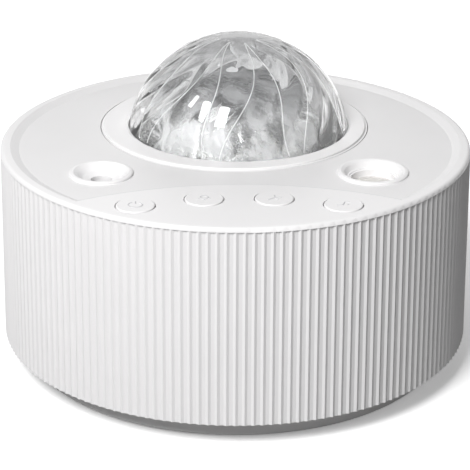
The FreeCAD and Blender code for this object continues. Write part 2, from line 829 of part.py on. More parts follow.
def gear_wire(teeth, module, thinning, height):
    """A gear's outline: two flank arcs, a tip and a root for each tooth, one tooth on +X."""
    pitch = teeth * module / 2
    pressure = math.radians(d.pressure_angle.number)
    base = pitch * math.cos(pressure)
    tip = pitch + d.tooth_addendum.number * module
    root = pitch - d.tooth_dedendum.number * module
    start = max(base, root)
    pitch_bearing = involute_point(base, math.tan(pressure))[1]
    half_tooth = (math.pi * module / 2 - 2 * thinning) / 2 / pitch
    rolls = [math.sqrt((reach / base) ** 2 - 1) for reach in (start, (start + tip) / 2, tip)]
    flank = []
    for roll in rolls:
        reach, bearing = involute_point(base, roll)
        flank.append((reach, half_tooth + pitch_bearing - bearing))
    flank = [(root, flank[0][1])] + flank
    step = 2 * math.pi / teeth

    def spot(reach, bearing):
        return Vector(reach * math.cos(bearing), reach * math.sin(bearing), height)

    edges = []
    for tooth in range(teeth):
        middle = tooth * step
        left = [spot(reach, middle + bearing) for reach, bearing in flank]
        right = [spot(reach, middle - bearing) for reach, bearing in flank]
        if (left[0] - left[1]).Length > 0.01:
            edges.append(Part.LineSegment(right[0], right[1]).toShape())
        edges.append(Part.Arc(right[1], right[2], right[3]).toShape())
        edges.append(Part.LineSegment(right[3], left[3]).toShape())
        edges.append(Part.Arc(left[3], left[2], left[1]).toShape())
        if (left[0] - left[1]).Length > 0.01:
            edges.append(Part.LineSegment(left[1], left[0]).toShape())
        next_start = spot(flank[0][0], middle + step - flank[0][1])
        edges.append(Part.LineSegment(left[0], next_start).toShape())
    return Part.Wire(edges)


def gear_solid(teeth, bottom, thickness, turn):
    """A toothed disc, turned so that one tooth points along a bearing in degrees."""
    wire = gear_wire(teeth, d.gear_module.number, d.tooth_thinning.number, bottom)
    solid = Part.Face(wire).extrude(Vector(0, 0, thickness))
    solid.rotate(Vector(0, 0, 0), Vector(0, 0, 1), turn)
    return solid


def mating_turn(bearing, driver_teeth, driver_turn, teeth):
    """Turn that puts a follower's gap where the driver's tooth lies beside the line of centres."""
    pitch_angle = 360 / driver_teeth
    offset = (driver_turn - bearing) % pitch_angle
    return bearing + 180 - offset * driver_teeth / teeth + 180 / teeth


def make_turntable_gear():
    bottom = d.gear_bottom.number
    thickness = d.gear_thickness.number
    bore = (d.lamp_tube_radius + d.running_gap).number
    hub = bore + d.hub_wall.number
    rim_bore = d.turntable_rim_bore.number
    web = d.turntable_web.number
    gear = gear_solid(int(d.turntable_teeth.number), bottom, thickness, -90)
    below = (thickness - web) / 2
    for height in (bottom, bottom + below + web):
        gear = gear.cut(Part.makeCylinder(rim_bore, below, Vector(0, 0, height)))
    hub_height = (hub_top - d.gear_bottom).number
    gear = gear.fuse(Part.makeCylinder(hub, hub_height, Vector(0, 0, bottom)))
    cuts = [Part.makeCylinder(bore, hub_height, Vector(0, 0, bottom))]
    for index in range(int(d.turntable_windows.number)):
        turn = 2 * math.pi * index / d.turntable_windows.number
        ring = (hub + rim_bore) / 2
        cuts.append(Part.makeCylinder(d.window_radius.number, thickness,
                                      Vector(ring * math.cos(turn), ring * math.sin(turn), bottom)))
    return free_part("turntable_gear", gear.cut(cuts), 0, d.dome_y, 0)


def make_motor_pinion():
    teeth = int(d.pinion_teeth.number)
    bottom = (d.gear_bottom - d.pinion_overlap).number
    thickness = (d.gear_thickness + d.pinion_overlap * 2).number
    turn = mating_turn(-90, int(d.turntable_teeth.number), -90, teeth)
    hub_height = d.pinion_hub_height.number
    pinion = gear_solid(teeth, bottom, thickness, turn)
    pinion = pinion.fuse(Part.makeCylinder(d.pinion_hub_radius.number, hub_height,
                                           Vector(0, 0, bottom - hub_height)))
    bore = Part.makeCylinder(d.shaft_radius.number, thickness + hub_height,
                             Vector(0, 0, bottom - hub_height))
    return free_part("motor_pinion", pinion.cut(bore), 0, pinion_y, 0)


def make_star_wheel():
    teeth = int(d.wheel_teeth.number)
    bottom = d.gear_bottom.number
    thickness = d.gear_thickness.number
    seat = d.film_seat.number
    turn = mating_turn(d.wheel_bearing.number, int(d.turntable_teeth.number), -90, teeth)
    wheel = gear_solid(teeth, bottom, thickness, turn)
    rim_bore = d.wheel_rim_bore.number
    wheel = wheel.cut([
        Part.makeCylinder(rim_bore, thickness, Vector(0, 0, bottom)),
        Part.makeCylinder(rim_bore + d.film_edge.number, thickness - seat,
                          Vector(0, 0, bottom + seat))])
    pieces = [Part.makeCylinder(d.wheel_hub_radius.number, thickness, Vector(0, 0, bottom))]
    width = d.spoke_width.number
    for bearing in (0, 120, 240):
        spoke = Part.makeBox(rim_bore + d.film_edge.number, width, seat, Vector(0, -width / 2, bottom))
        spoke.rotate(Vector(0, 0, 0), Vector(0, 0, 1), bearing)
        pieces.append(spoke)
    bore = Part.makeCylinder((d.wheel_pin_radius + d.running_gap).number, thickness,
                             Vector(0, 0, bottom))
    return free_part("star_wheel", wheel.fuse(pieces).cut(bore).removeSplitter(), wheel_x, wheel_y, 0)


def star_wire(radius, height):
    """A five-pointed star outline about its own centre."""
    spots = []
    for index in range(11):
        reach = radius if index % 2 == 0 else radius * d.film_star_waist.number
        turn = math.radians(36 * index)
        spots.append(Vector(reach * math.cos(turn), reach * math.sin(turn), height))
    return Part.makePolygon(spots)


def make_star_film():
    seat = (d.gear_bottom + d.film_seat).number
    thickness = d.film_thickness.number
    outer = (d.wheel_rim_bore + d.film_edge - d.fit_gap).number
    film = Part.makeCylinder(outer, thickness, Vector(0, 0, seat))
    cuts = [Part.makeCylinder((d.wheel_hub_radius + d.fit_gap).number, thickness, Vector(0, 0, seat))]
    count = int(d.film_stars.number)
    for index in range(count):
        star = Part.Face(star_wire(d.film_star_radius.number, seat)).extrude(Vector(0, 0, thickness))
        turn = 360 * index / count
        star.translate(Vector(d.film_star_ring.number, 0, 0))
        star.rotate(Vector(0, 0, 0), Vector(0, 0, 1), turn)
        cuts.append(star)
    return free_part("star_film", film.cut(cuts), wheel_x, wheel_y, 0)


# Deck and drive

def make_chassis():
    body = new_body("chassis")
    pad(body, [circle(0, 0, deck_radius)], d.deck_bottom, deck_top)
    pad(body, [circle(0, 0, deck_radius), circle(0, 0, deck_radius - d.deck_rib)],
        deck_top, deck_top + d.deck_rib_height)
    pad(body, [circle(0, d.dome_y, d.lamp_shoulder)], deck_top, shoulder_top)
    pad(body, [circle(0, d.dome_y, d.lamp_tube_radius)], shoulder_top, lamp_tube_top)
    pad(body, [circle(wheel_x, wheel_y, d.wheel_boss_radius)], deck_top, shoulder_top)
    pocket(body, [circle(0, d.dome_y, d.lamp_tube_bore)], lamp_tube_top, d.deck_bottom)
    pocket(body, [circle(wheel_x, wheel_y, d.wheel_pin_radius)], shoulder_top, deck_top)
    holes = post_places + top_post_places + motor_screw_places()
    pocket(body, [circle(x, y, screw_hole) for x, y in holes], deck_top, d.deck_bottom)
    pocket(body, [circle(0, pinion_y, d.motor_boss_radius + d.fit_gap)], deck_top, d.deck_bottom)


def motor_screw_places():
    return [(d.motor_ear_ring * side, pinion_y) for side in (-1, 1)]


def make_drive_motor():
    body = new_body("drive_motor", 0, pinion_y, 0)
    low = d.deck_bottom - d.motor_height
    boss_top = d.deck_bottom + d.motor_boss_height
    pad(body, [circle(0, 0, d.motor_radius)], low, d.deck_bottom)
    pad(body, [circle(d.motor_ear_ring * side, 0, d.motor_ear_radius) for side in (-1, 1)],
        d.deck_bottom - d.motor_ear_thickness, d.deck_bottom)
    pad(body, [box(0, 0, d.motor_ear_ring * 2, d.motor_ear_radius * 2)],
        d.deck_bottom - d.motor_ear_thickness, d.deck_bottom)
    pad(body, [circle(0, 0, d.motor_boss_radius)], d.deck_bottom, boss_top)
    pocket(body, [circle(0, 0, d.shaft_radius + d.running_gap)],
           boss_top, d.deck_bottom - d.shaft_depth - d.end_play)
    pocket(body, [circle(d.motor_ear_ring * side, 0, screw_hole) for side in (-1, 1)],
           d.deck_bottom, d.deck_bottom - d.motor_ear_thickness)


def make_motor_shaft():
    body = new_body("motor_shaft", 0, pinion_y, 0)
    pad(body, [circle(0, 0, d.shaft_radius)], d.deck_bottom - d.shaft_depth,
        gear_top + d.pinion_overlap)


def make_star_wheel_pin():
    body = new_body("star_wheel_pin", wheel_x, wheel_y, 0)
    seat = gear_top + d.fit_gap
    pad(body, [circle(0, 0, d.wheel_pin_radius)], deck_top, seat)
    pad(body, [circle(0, 0, d.wheel_pin_head)], seat, seat + d.flange_thickness / 2)


# Lamp

sink_top = lamp_tube_top + d.sink_thickness
led_board_top = sink_top + d.board_thickness


def make_heat_sink():
    body = new_body("heat_sink", 0, d.dome_y, 0)
    pad(body, [circle(0, 0, d.sink_radius)], lamp_tube_top, sink_top)
    pad(body, [circle(0, 0, d.lamp_tube_bore - d.fit_gap)], lamp_tube_top - d.sink_spigot, lamp_tube_top)
    count = int(d.sink_fins.number)
    fins = [box(d.sink_fin_pitch * (step - (count - 1) / 2), 0, d.board_thickness, d.sink_fin_length)
            for step in range(count)]
    pocket(body, fins, lamp_tube_top - d.sink_thickness, lamp_tube_top - d.sink_spigot)


def make_led_board():
    body = new_body("led_board", 0, d.dome_y, 0)
    pad(body, [circle(0, 0, d.led_board_radius)], sink_top, led_board_top)


def led_places():
    count = int(d.led_count.number)
    return [(as_size(0), as_size(0))] + [polar(d.led_ring, 360 * index / count) for index in range(count)]


def make_led_emitters():
    body = new_body("led_emitters", 0, d.dome_y, 0)
    pad(body, [box(x, y, d.led_side, d.led_side) for x, y in led_places()],
        led_board_top, led_board_top + d.led_height)


def make_led_lens_cluster():
    """A clear plate on a short wall, with a blunt cone over each emitter."""
    body = new_body("led_lens_cluster", 0, d.dome_y, 0)
    under = led_board_top + d.cluster_leg
    top = under + d.cluster_plate
    pad(body, [circle(0, 0, d.cluster_radius)], led_board_top, top)
    pocket(body, [circle(0, 0, d.cluster_radius - d.cluster_wall)], under, led_board_top)
    for x, y in led_places():
        cone = body.newObject("PartDesign::AdditiveLoft", "led_lens_cluster_bead")
        cone.Profile = new_sketch(body, "XY_Plane", [circle(x, y, d.cluster_bead)], top)
        cone.Sections = [new_sketch(body, "XY_Plane", [circle(x, y, d.cluster_bead_top)],
                                    top + d.cluster_bead_rise)]
        cone.Ruled = True


# Star port: laser, bracket, collar and window

def make_laser_module():
    body = new_body("laser_module", -d.port_x, d.port_y, 0)
    top = deck_top + d.laser_height
    turned = pad(body, [circle(0, 0, d.laser_radius)], deck_top, top)
    ease_edge(body, "Chamfer", turned, d.laser_radius, top, d.button_round)
    pocket(body, [circle(0, 0, d.screw_radius)], top, top - d.board_thickness)


def make_laser_bracket():
    body = new_body("laser_bracket", -d.port_x, d.port_y, 0)
    side = d.laser_bracket_side
    left = side - d.laser_radius - d.screw_radius
    pad(body, [polygon([(-left, -side / 2), (side / 2 - d.ring_ease, -side / 2),
                        (side / 2 - d.ring_ease, side / 2), (-left, side / 2)]),
               circle(0, 0, d.laser_radius + d.running_gap)],
        deck_top, deck_top + d.laser_bracket_height)


def make_star_port_collar():
    body = new_body("star_port_collar", -d.port_x, d.port_y, 0)
    top = plate_top + d.port_lip_rise
    bowl = top - d.star_bowl_depth
    ease = d.port_lip_round
    window_seat = star_collar_bottom + d.board_thickness
    revolve(body, [
        (d.star_aperture, window_seat), (d.star_window_radius + d.running_gap, window_seat),
        (d.star_window_radius + d.running_gap, star_collar_bottom),
        (d.star_barrel_radius, star_collar_bottom), (d.star_barrel_radius, plate_top),
        (d.star_lip_radius, plate_top), (d.star_lip_radius, top - ease),
        (d.star_lip_radius - ease, top), (d.star_bowl_radius + ease, top),
        (d.star_bowl_radius, top - ease), (d.star_bowl_waist, bowl + ease * 2),
        (d.star_bowl_floor, bowl), (d.star_aperture, bowl - ease)])


def make_star_port_window():
    body = new_body("star_port_window", -d.port_x, d.port_y, 0)
    pad(body, [circle(0, 0, d.star_window_radius)], star_collar_bottom + d.end_play,
        star_collar_bottom + d.board_thickness)


# Moon port: collar, lens, barrel, slide and its lamp board

def make_moon_port_collar():
    body = new_body("moon_port_collar", d.port_x, d.port_y, 0)
    top = plate_top + d.port_lip_rise
    ease = d.port_lip_round
    well = top - d.moon_well_depth
    lens_bore = d.moon_lens_radius + d.end_play
    lens_seat = moon_collar_bottom + d.moon_lens_edge
    revolve(body, [
        (lens_bore, moon_collar_bottom), (d.moon_barrel_radius, moon_collar_bottom),
        (d.moon_barrel_radius, plate_top), (d.moon_lip_radius, plate_top),
        (d.moon_lip_radius, top - ease), (d.moon_lip_radius - ease, top),
        (d.moon_mouth_radius + ease, top), (d.moon_mouth_radius, top - ease),
        (d.moon_well_radius, well), (d.moon_ledge_radius + ease, well),
        (d.moon_ledge_radius, well - ease), (d.moon_ledge_radius, lens_seat), (lens_bore, lens_seat)])


def make_moon_lens():
    body = new_body("moon_lens", d.port_x, d.port_y, 0)
    edge_top = moon_collar_bottom + d.moon_lens_edge
    crown = d.moon_lens_crown
    reach = d.moon_ledge_radius - d.end_play
    dome = [(reach * share, edge_top + crown * (1 - share ** 2)) for share in (1, 0.75, 0.5, 0.25, 0)]
    revolve(body, [(0, moon_collar_bottom), (d.moon_lens_radius, moon_collar_bottom),
                   (d.moon_lens_radius, edge_top)] + dome)


def make_moon_barrel():
    body = new_body("moon_barrel", d.port_x, d.port_y, 0)
    bottom = deck_top + d.board_thickness
    pad(body, [circle(0, 0, d.moon_tube_radius)], bottom, moon_collar_bottom)
    slide = bottom + d.moon_slide_height
    pocket(body, [circle(0, 0, d.moon_tube_bore)], moon_collar_bottom, slide)
    pocket(body, [circle(0, 0, d.moon_tube_bore - d.moon_slide_ledge)],
           slide, slide - d.moon_slide_ledge)
    pocket(body, [circle(0, 0, d.moon_tube_bore)], slide - d.moon_slide_ledge, bottom)


def make_moon_slide():
    body = new_body("moon_slide", d.port_x, d.port_y, 0)
    slide = deck_top + d.board_thickness + d.moon_slide_height
    pad(body, [circle(0, 0, d.moon_tube_bore - d.end_play)], slide, slide + d.moon_slide_thickness)


def make_moon_led_board():
    body = new_body("moon_led_board", d.port_x, d.port_y, 0)
    top = deck_top + d.board_thickness
    pad(body, [circle(0, 0, d.moon_board_radius)], deck_top, top)
    pad(body, [box(0, 0, d.led_side, d.led_side)], top, top + d.led_height)


# Buttons, switches and boards

def make_button(name, side, reach):
    x, y = button_place(side, reach)
    body = new_body(name + "_button", x, y, 0)
    top = rim_top + d.button_rise
    pad(body, [circle(0, 0, d.button_radius + d.button_flange)], button_flange_bottom, button_flange_top)
    cap = pad(body, [circle(0, 0, d.button_radius)], button_flange_top, top)
    ease_edge(body, "Chamfer", cap, d.button_radius, top, d.button_round)
    pad(body, [circle(0, 0, d.button_stem_radius)], stem_bottom, button_flange_bottom)
    plunger = new_body(name + "_plunger", x, y, 0)
    pad(plunger, [circle(0, 0, d.plunger_radius)], switch_top - d.plunger_depth, stem_bottom)


def make_switch_bodies():
    body = new_body("switch_bodies")
    places = [button_place(side, getattr(d, reach)) for name, side, reach in BUTTONS]
    pad(body, [box(x, y, d.switch_side, d.switch_side) for x, y in places],
        control_board_top, switch_top)
    well = d.plunger_depth + d.button_travel + d.end_play
    pocket(body, [circle(x, y, d.plunger_radius + d.end_play) for x, y in places],
           switch_top, switch_top - well)


def make_control_board():
    body = new_body("control_board")
    back = panel_edge - d.control_board_setback
    front = back - d.control_board_depth
    tip = front - d.control_board_tip
    outline = [(d.control_board_x, front), (d.control_board_x, back), (-d.control_board_x, back),
               (-d.control_board_x, front), (-d.control_board_tip_x, tip), (d.control_board_tip_x, tip)]
    holes = [circle(x, y, screw_hole) for x, y in control_post_places]
    pad(body, [polygon(outline)] + holes, control_board_bottom, control_board_top)


def make_main_board():
    body = new_body("main_board")
    x, y = d.main_board_x, d.main_board_y
    pad(body, [box(x, y, d.main_board_width, d.main_board_depth)]
        + [circle(*place, screw_hole) for place in main_board_corners()],
        d.main_board_height, main_board_top)
    chip = d.chip_side
    aside = d.chip_spacing
    pad(body, [box(x, y, chip, chip), box(x - aside, y, chip / 2, chip), box(x + aside, y, chip, chip / 2)],
        main_board_top, main_board_top + d.board_thickness)
    pad(body, [circle(x, y + aside * side, d.capacitor_radius) for side in (-1, 1)],
        main_board_top, main_board_top + d.capacitor_height)


def make_usb_board():
    body = new_body("usb_board")
    back = socket_face - d.socket_sleeve - d.end_play
    pad(body, [box(0, back - d.socket_board_depth / 2, d.socket_board_width, d.socket_board_depth)],
        socket_board_bottom, socket_board_top)


def make_power_socket():
    """A flat oval metal sleeve with a contact tongue inside it."""
    width = d.socket_width.number
    thick = d.socket_thick.number
    depth = d.socket_depth.number
    wall = d.socket_wall.number

    def oval(shrink, length, start):
        half = width / 2 - thick / 2
        radius = thick / 2 - shrink
        axis = Vector(0, 1, 0)
        ends = [Part.makeCylinder(radius, length, Vector(side * half, start, 0), axis) for side in (-1, 1)]
        return Part.makeBox(2 * half, length, 2 * radius, Vector(-half, start, -radius)).fuse(ends)

    shape = oval(0, depth, -depth).cut(oval(wall, depth - wall, wall - depth))
    tongue_width = d.tongue_width.number
    tongue_thick = d.tongue_thickness.number
    tongue = Part.makeBox(tongue_width, d.tongue_length.number, tongue_thick,
                          Vector(-tongue_width / 2, wall / 2 - depth, -tongue_thick / 2))
    return free_part("power_socket", shape.fuse(tongue).removeSplitter(), 0, socket_face,
                     d.socket_height)


# Speaker

def make_speaker():
    seat = floor_top + d.gasket_thickness
    outer = d.speaker_radius
    rim = outer - d.speaker_rim
    gasket = new_body("speaker_gasket", d.speaker_x, 0, 0)
    pad(gasket, [circle(0, 0, outer), circle(0, 0, outer - d.gasket_width)], floor_top, seat)
    frame = new_body("speaker_frame", d.speaker_x, 0, 0)
    wall = d.basket_wall
    neck = seat + d.basket_height
    revolve(frame, [(rim, seat), (outer, seat), (outer, seat + wall), (rim + wall, seat + wall),
                    (rim + wall, seat + d.basket_height / 2), (d.basket_neck + wall, neck),
                    (0, neck), (0, neck - wall), (d.basket_neck, neck - wall),
                    (rim, seat + d.basket_height / 2 - wall / 2)])
    magnet = new_body("speaker_magnet", d.speaker_x, 0, 0)
    pad(magnet, [circle(0, 0, d.magnet_radius)], neck, neck + d.magnet_height)
    cone = new_body("speaker_cone", d.speaker_x, 0, 0)
    thin = d.cone_thickness
    edge = rim - d.end_play
    throat = d.basket_neck / 2
    deep = seat + d.cone_depth
    revolve(cone, [(edge, seat), (edge, seat + thin), (edge - d.speaker_rim, seat + thin),
                   (throat, deep + thin), (0, deep - thin), (0, deep - thin * 2), (throat, deep),
                   (edge - d.speaker_rim - thin, seat)])


# Build, check and write

def build():
    make_body_shell()
    make_base_cover()
    make_foot_pads()
    make_screws("base_screws", post_places, d.base_lift + d.screw_well_depth,
                d.drum_bottom + d.screw_bite - d.base_lift - d.screw_well_depth, True)
    make_top_cover()
    make_dome()
    make_dome_ring()
    make_wave_lens()
    make_turntable_gear()
    make_motor_pinion()
    make_motor_shaft()
    make_drive_motor()
    make_screws("motor_screws", motor_screw_places(), deck_top,
                d.deck_thickness + d.motor_ear_thickness * 2, False)
    make_star_wheel()
    make_star_film()
    make_star_wheel_pin()
    make_chassis()
    make_screws("chassis_screws", post_places, deck_top, d.deck_thickness + d.screw_bite, False)
    make_screws("top_screws", top_post_places, d.deck_bottom,
                d.deck_thickness + d.screw_bite - d.fit_gap, True)
    make_heat_sink()
    make_led_board()
    make_led_emitters()
    make_led_lens_cluster()
    make_laser_module()
    make_laser_bracket()
    make_star_port_collar()
    make_star_port_window()
    make_moon_port_collar()
    make_moon_lens()
    make_moon_barrel()
    make_moon_slide()
    make_moon_led_board()
    for name, side, reach in BUTTONS:
        make_button(name, side, getattr(d, reach))
    make_switch_bodies()
    make_control_board()
    make_screws("control_screws", control_post_places, control_board_bottom,
                d.board_thickness + d.screw_bite / 2, True)
    make_main_board()
    make_screws("board_screws", main_board_corners(), main_board_top,
                d.board_thickness + d.screw_bite / 2, False)
    make_usb_board()
    make_power_socket()
    make_speaker()


def check():
    doc.recompute()
    for item in doc.Objects:
        if "Invalid" in item.State or "Error" in item.State:
            raise RuntimeError(f"{item.Label} failed: {item.State}")
    for part in parts:
        if part.Shape.isNull() or not part.Shape.isValid() or not part.Shape.Solids:
            raise RuntimeError(f"{part.Label} has no valid solid")


def write():
    os.makedirs("parts", exist_ok=True)
    for part in parts:
        part.Shape.exportStep(f"parts/{part.Label}.step")


build()
check()
write()
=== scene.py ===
import json
import math

import bmesh
import bpy
from mathutils import Matrix, Vector


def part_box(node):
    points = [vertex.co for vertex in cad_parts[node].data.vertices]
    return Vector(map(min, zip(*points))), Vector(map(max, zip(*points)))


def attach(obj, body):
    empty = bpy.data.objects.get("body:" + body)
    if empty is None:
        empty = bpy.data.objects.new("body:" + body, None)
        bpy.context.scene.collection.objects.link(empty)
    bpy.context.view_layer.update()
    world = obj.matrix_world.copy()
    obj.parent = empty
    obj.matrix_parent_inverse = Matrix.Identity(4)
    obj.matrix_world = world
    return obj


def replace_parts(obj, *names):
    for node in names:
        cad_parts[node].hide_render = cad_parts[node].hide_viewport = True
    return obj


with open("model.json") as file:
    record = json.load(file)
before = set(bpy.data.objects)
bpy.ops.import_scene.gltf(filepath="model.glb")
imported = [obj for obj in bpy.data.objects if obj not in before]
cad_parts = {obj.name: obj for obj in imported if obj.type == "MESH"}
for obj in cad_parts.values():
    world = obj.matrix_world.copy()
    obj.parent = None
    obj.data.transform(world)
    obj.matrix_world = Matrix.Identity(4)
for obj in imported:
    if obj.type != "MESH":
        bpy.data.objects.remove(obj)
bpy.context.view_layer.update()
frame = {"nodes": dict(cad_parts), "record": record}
nodes = frame["nodes"]

MM = 0.001
scene = bpy.context.scene


# Places read from the frame

def middle(node):
    low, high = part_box(node)
    return (low + high) / 2


def radius_of(node):
    low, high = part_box(node)
    return (high.x - low.x) / 2 / MM


def top(node):
    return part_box(node)[1].z / MM


def bottom(node):
    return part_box(node)[0].z / MM


# Shader helpers

def new_material(name):
    material = bpy.data.materials.new(name)
    material.use_nodes = True
    tree = material.node_tree
    return material, tree, tree.nodes["Principled BSDF"]


def add(tree, kind, **values):
    node = tree.nodes.new(kind)
    for name, value in values.items():
        setattr(node, name, value)
    return node


def object_coordinates(tree, stretch=(1, 1, 1)):
    source = add(tree, "ShaderNodeTexCoord")
    mapping = add(tree, "ShaderNodeMapping")
    mapping.inputs["Scale"].default_value = stretch
    tree.links.new(source.outputs["Object"], mapping.inputs["Vector"])
    return mapping.outputs["Vector"]


def noise_node(tree, vector, scale, detail=3.0):
    node = add(tree, "ShaderNodeTexNoise")
    node.inputs["Scale"].default_value = scale
    node.inputs["Detail"].default_value = detail
    tree.links.new(vector, node.inputs["Vector"])
    return node.outputs["Fac"]


def ramp(tree, factor, stops):
    node = add(tree, "ShaderNodeValToRGB")
    elements = node.color_ramp.elements
    for index, (place, color) in enumerate(stops):
        element = elements[index] if index < 2 else elements.new(place)
        element.position = place
        element.color = (*color, 1)
    tree.links.new(factor, node.inputs["Fac"])
    return node.outputs["Color"]


def between(tree, value, source, target):
    """A value that runs over one span, mapped to another span and held at its ends."""
    node = add(tree, "ShaderNodeMapRange")
    node.inputs["From Min"].default_value = source[0]
    node.inputs["From Max"].default_value = source[1]
    node.inputs["To Min"].default_value = target[0]
    node.inputs["To Max"].default_value = target[1]
    tree.links.new(value, node.inputs["Value"])
    return node.outputs["Result"]


def remap(tree, factor, low, high):
    return between(tree, factor, (0, 1), (low, high))


def largest(tree, *factors):
    """The largest of several factors."""
    whole = factors[0]
    for factor in factors[1:]:
        node = add(tree, "ShaderNodeMath", operation="MAXIMUM")
        tree.links.new(whole, node.inputs[0])
        tree.links.new(factor, node.inputs[1])
        whole = node.outputs[0]
    return whole


def seen_rays(tree):
    """One where a ray comes from the camera, a mirror or through glass, and nought for soft light."""
    paths = add(tree, "ShaderNodeLightPath")
    return largest(tree, paths.outputs["Is Camera Ray"], paths.outputs["Is Glossy Ray"],
                   paths.outputs["Is Transmission Ray"])


def bump(tree, shader, height, strength, distance):
    node = add(tree, "ShaderNodeBump")
    node.inputs["Strength"].default_value = strength
    node.inputs["Distance"].default_value = distance
    tree.links.new(height, node.inputs["Height"])
    tree.links.new(node.outputs["Normal"], shader.inputs["Normal"])


def shade(color, share):
    return tuple(channel * share for channel in color)


def height_share(tree, place, low, high):
    """Nought at the low height, one at the high one; heights are in millimetres."""
    parts = add(tree, "ShaderNodeSeparateXYZ")
    tree.links.new(place, parts.inputs[0])
    return between(tree, parts.outputs["Z"], (low * MM, high * MM), (0, 1))


# Materials

PLASTIC_IOR = 1.46
CLEAR_IOR = 1.49
CLOUD_SCALE = 38
CLOUD_SHARE = 0.985
GLOSS_SCALE = 160


def cloudy(tree, cloud, color):
    """A colour with faint clouds of a slightly darker one."""
    return ramp(tree, cloud, [(0.35, shade(color, CLOUD_SHARE)), (0.65, color)])


def moulded(name, color, roughness, grain=1400, grain_depth=0.00001, specular=0.5, paint=cloudy):
    """Moulded plastic: faint cloudy colour, uneven gloss and a fine mould grain."""
    material, tree, shader = new_material(name)
    place = object_coordinates(tree)
    cloud = noise_node(tree, place, CLOUD_SCALE, 2.0)
    tree.links.new(paint(tree, cloud, color), shader.inputs["Base Color"])
    gloss = noise_node(tree, place, GLOSS_SCALE)
    tree.links.new(remap(tree, gloss, roughness * 0.88, roughness * 1.12), shader.inputs["Roughness"])
    shader.inputs["IOR"].default_value = PLASTIC_IOR
    shader.inputs["Specular IOR Level"].default_value = specular
    bump(tree, shader, noise_node(tree, place, grain), 0.25, grain_depth)
    return material


def metal(name, color, roughness, stretch=(1, 1, 1)):
    """Bare metal with fine scratches along its working direction."""
    material, tree, shader = new_material(name)
    place = object_coordinates(tree, stretch)
    scratch = noise_node(tree, place, 900, 4.0)
    tree.links.new(ramp(tree, scratch, [(0.3, shade(color, 0.85)), (0.7, color)]),
                   shader.inputs["Base Color"])
    tree.links.new(remap(tree, scratch, roughness * 0.75, roughness * 1.3),
                   shader.inputs["Roughness"])
    shader.inputs["Metallic"].default_value = 1.0
    bump(tree, shader, scratch, 0.2, 0.00001)
    return material


STREAK_SCALE = 110
STREAK_STRETCH = (1, 1, 0.25)
DARKEST_STREAK = 0.35


def clear(name, color, roughness, ripple, ripple_depth, glass=1.0, heights=None):
    """Clear polycarbonate, faintly uneven, with a streaky shadow. Heights, where given, make it grey towards
    the top, as painted shade.
    """
    material, tree, shader = new_material(name)
    place = object_coordinates(tree)
    wave = noise_node(tree, place, ripple, 2.0)
    if heights:
        low, high, stops = heights
        # Painted shade: the clear dome's colour turns grey towards its crown
        tint_and_shade = ramp(tree, height_share(tree, place, low, high), stops)
    else:
        tint_and_shade = ramp(tree, wave, [(0.3, shade(color, 0.94)), (0.7, color)])
    tree.links.new(tint_and_shade, shader.inputs["Base Color"])
    tree.links.new(remap(tree, wave, roughness * 0.6, roughness * 1.4), shader.inputs["Roughness"])
    shader.inputs["Transmission Weight"].default_value = glass
    shader.inputs["IOR"].default_value = CLEAR_IOR
    bump(tree, shader, wave, 0.5, ripple_depth)
    paths = add(tree, "ShaderNodeLightPath")
    streak = noise_node(tree, object_coordinates(tree, STREAK_STRETCH), STREAK_SCALE, 1.0)
    passing = add(tree, "ShaderNodeMath", operation="MULTIPLY")
    tree.links.new(paths.outputs["Is Shadow Ray"], passing.inputs[0])
    tree.links.new(remap(tree, streak, DARKEST_STREAK, 1.0), passing.inputs[1])
    through = add(tree, "ShaderNodeBsdfTransparent")
    mix = add(tree, "ShaderNodeMixShader")
    tree.links.new(passing.outputs[0], mix.inputs["Fac"])
    tree.links.new(shader.outputs["BSDF"], mix.inputs[1])
    tree.links.new(through.outputs["BSDF"], mix.inputs[2])
    tree.links.new(mix.outputs["Shader"], tree.nodes["Material Output"].inputs["Surface"])
    return material


def painted_glint(name, color, share):
    """A faint bright edge in clear plastic, partly seen through: its white is a painted glint."""
    material, tree, shader = new_material(name)
    cloud = noise_node(tree, object_coordinates(tree), 120)
    tree.links.new(ramp(tree, cloud, [(0.3, shade(color, 0.9)), (0.7, color)]),
                   shader.inputs["Base Color"])
    tree.links.new(remap(tree, cloud, share * 0.7, share * 1.3), shader.inputs["Alpha"])
    shader.inputs["Roughness"].default_value = 0.3
    return material


def inside_circle(tree, place, centre, reach):
    """One within a circle seen from above, whose centre and reach are in millimetres."""
    gap = add(tree, "ShaderNodeVectorMath", operation="DISTANCE")
    tree.links.new(place, gap.inputs[0])
    gap.inputs[1].default_value = (centre[0] * MM, centre[1] * MM, 0)
    inside = add(tree, "ShaderNodeMath", operation="LESS_THAN")
    tree.links.new(gap.outputs["Value"], inside.inputs[0])
    inside.inputs[1].default_value = reach * MM
    return inside.outputs[0]


def cover_colour_and_plate_shade(tree, cloud, color):
    """Cloudy white, greyer on the sunk plate than on the rim and the front panel; that grey is painted
    shade.
    """
    flat = object_coordinates(tree, (1, 1, 0))
    sunk = add(tree, "ShaderNodeMath", operation="SUBTRACT", use_clamp=True)
    tree.links.new(inside_circle(tree, flat, (0, 0), PLATE_RADIUS), sunk.inputs[0])
    tree.links.new(inside_circle(tree, flat, PANEL_CENTRE, PANEL_RADIUS), sunk.inputs[1])
    mix = add(tree, "ShaderNodeMix", data_type="RGBA")
    tree.links.new(sunk.outputs[0], mix.inputs["Factor"])
    tree.links.new(cloudy(tree, cloud, color), mix.inputs[6])
    # Painted shade: the sunk plate gets a darker copy of the white
    tree.links.new(cloudy(tree, cloud, shade(color, PLATE_SHADE_SHARE)), mix.inputs[7])
    return mix.outputs[2]


PATCH_SCALE = 150
PATCH_STRETCH = (1, 1, 0.35)
PATCH_EDGE = (0.44, 0.56)
PATCH_GLASS = (0.72, 1.0)


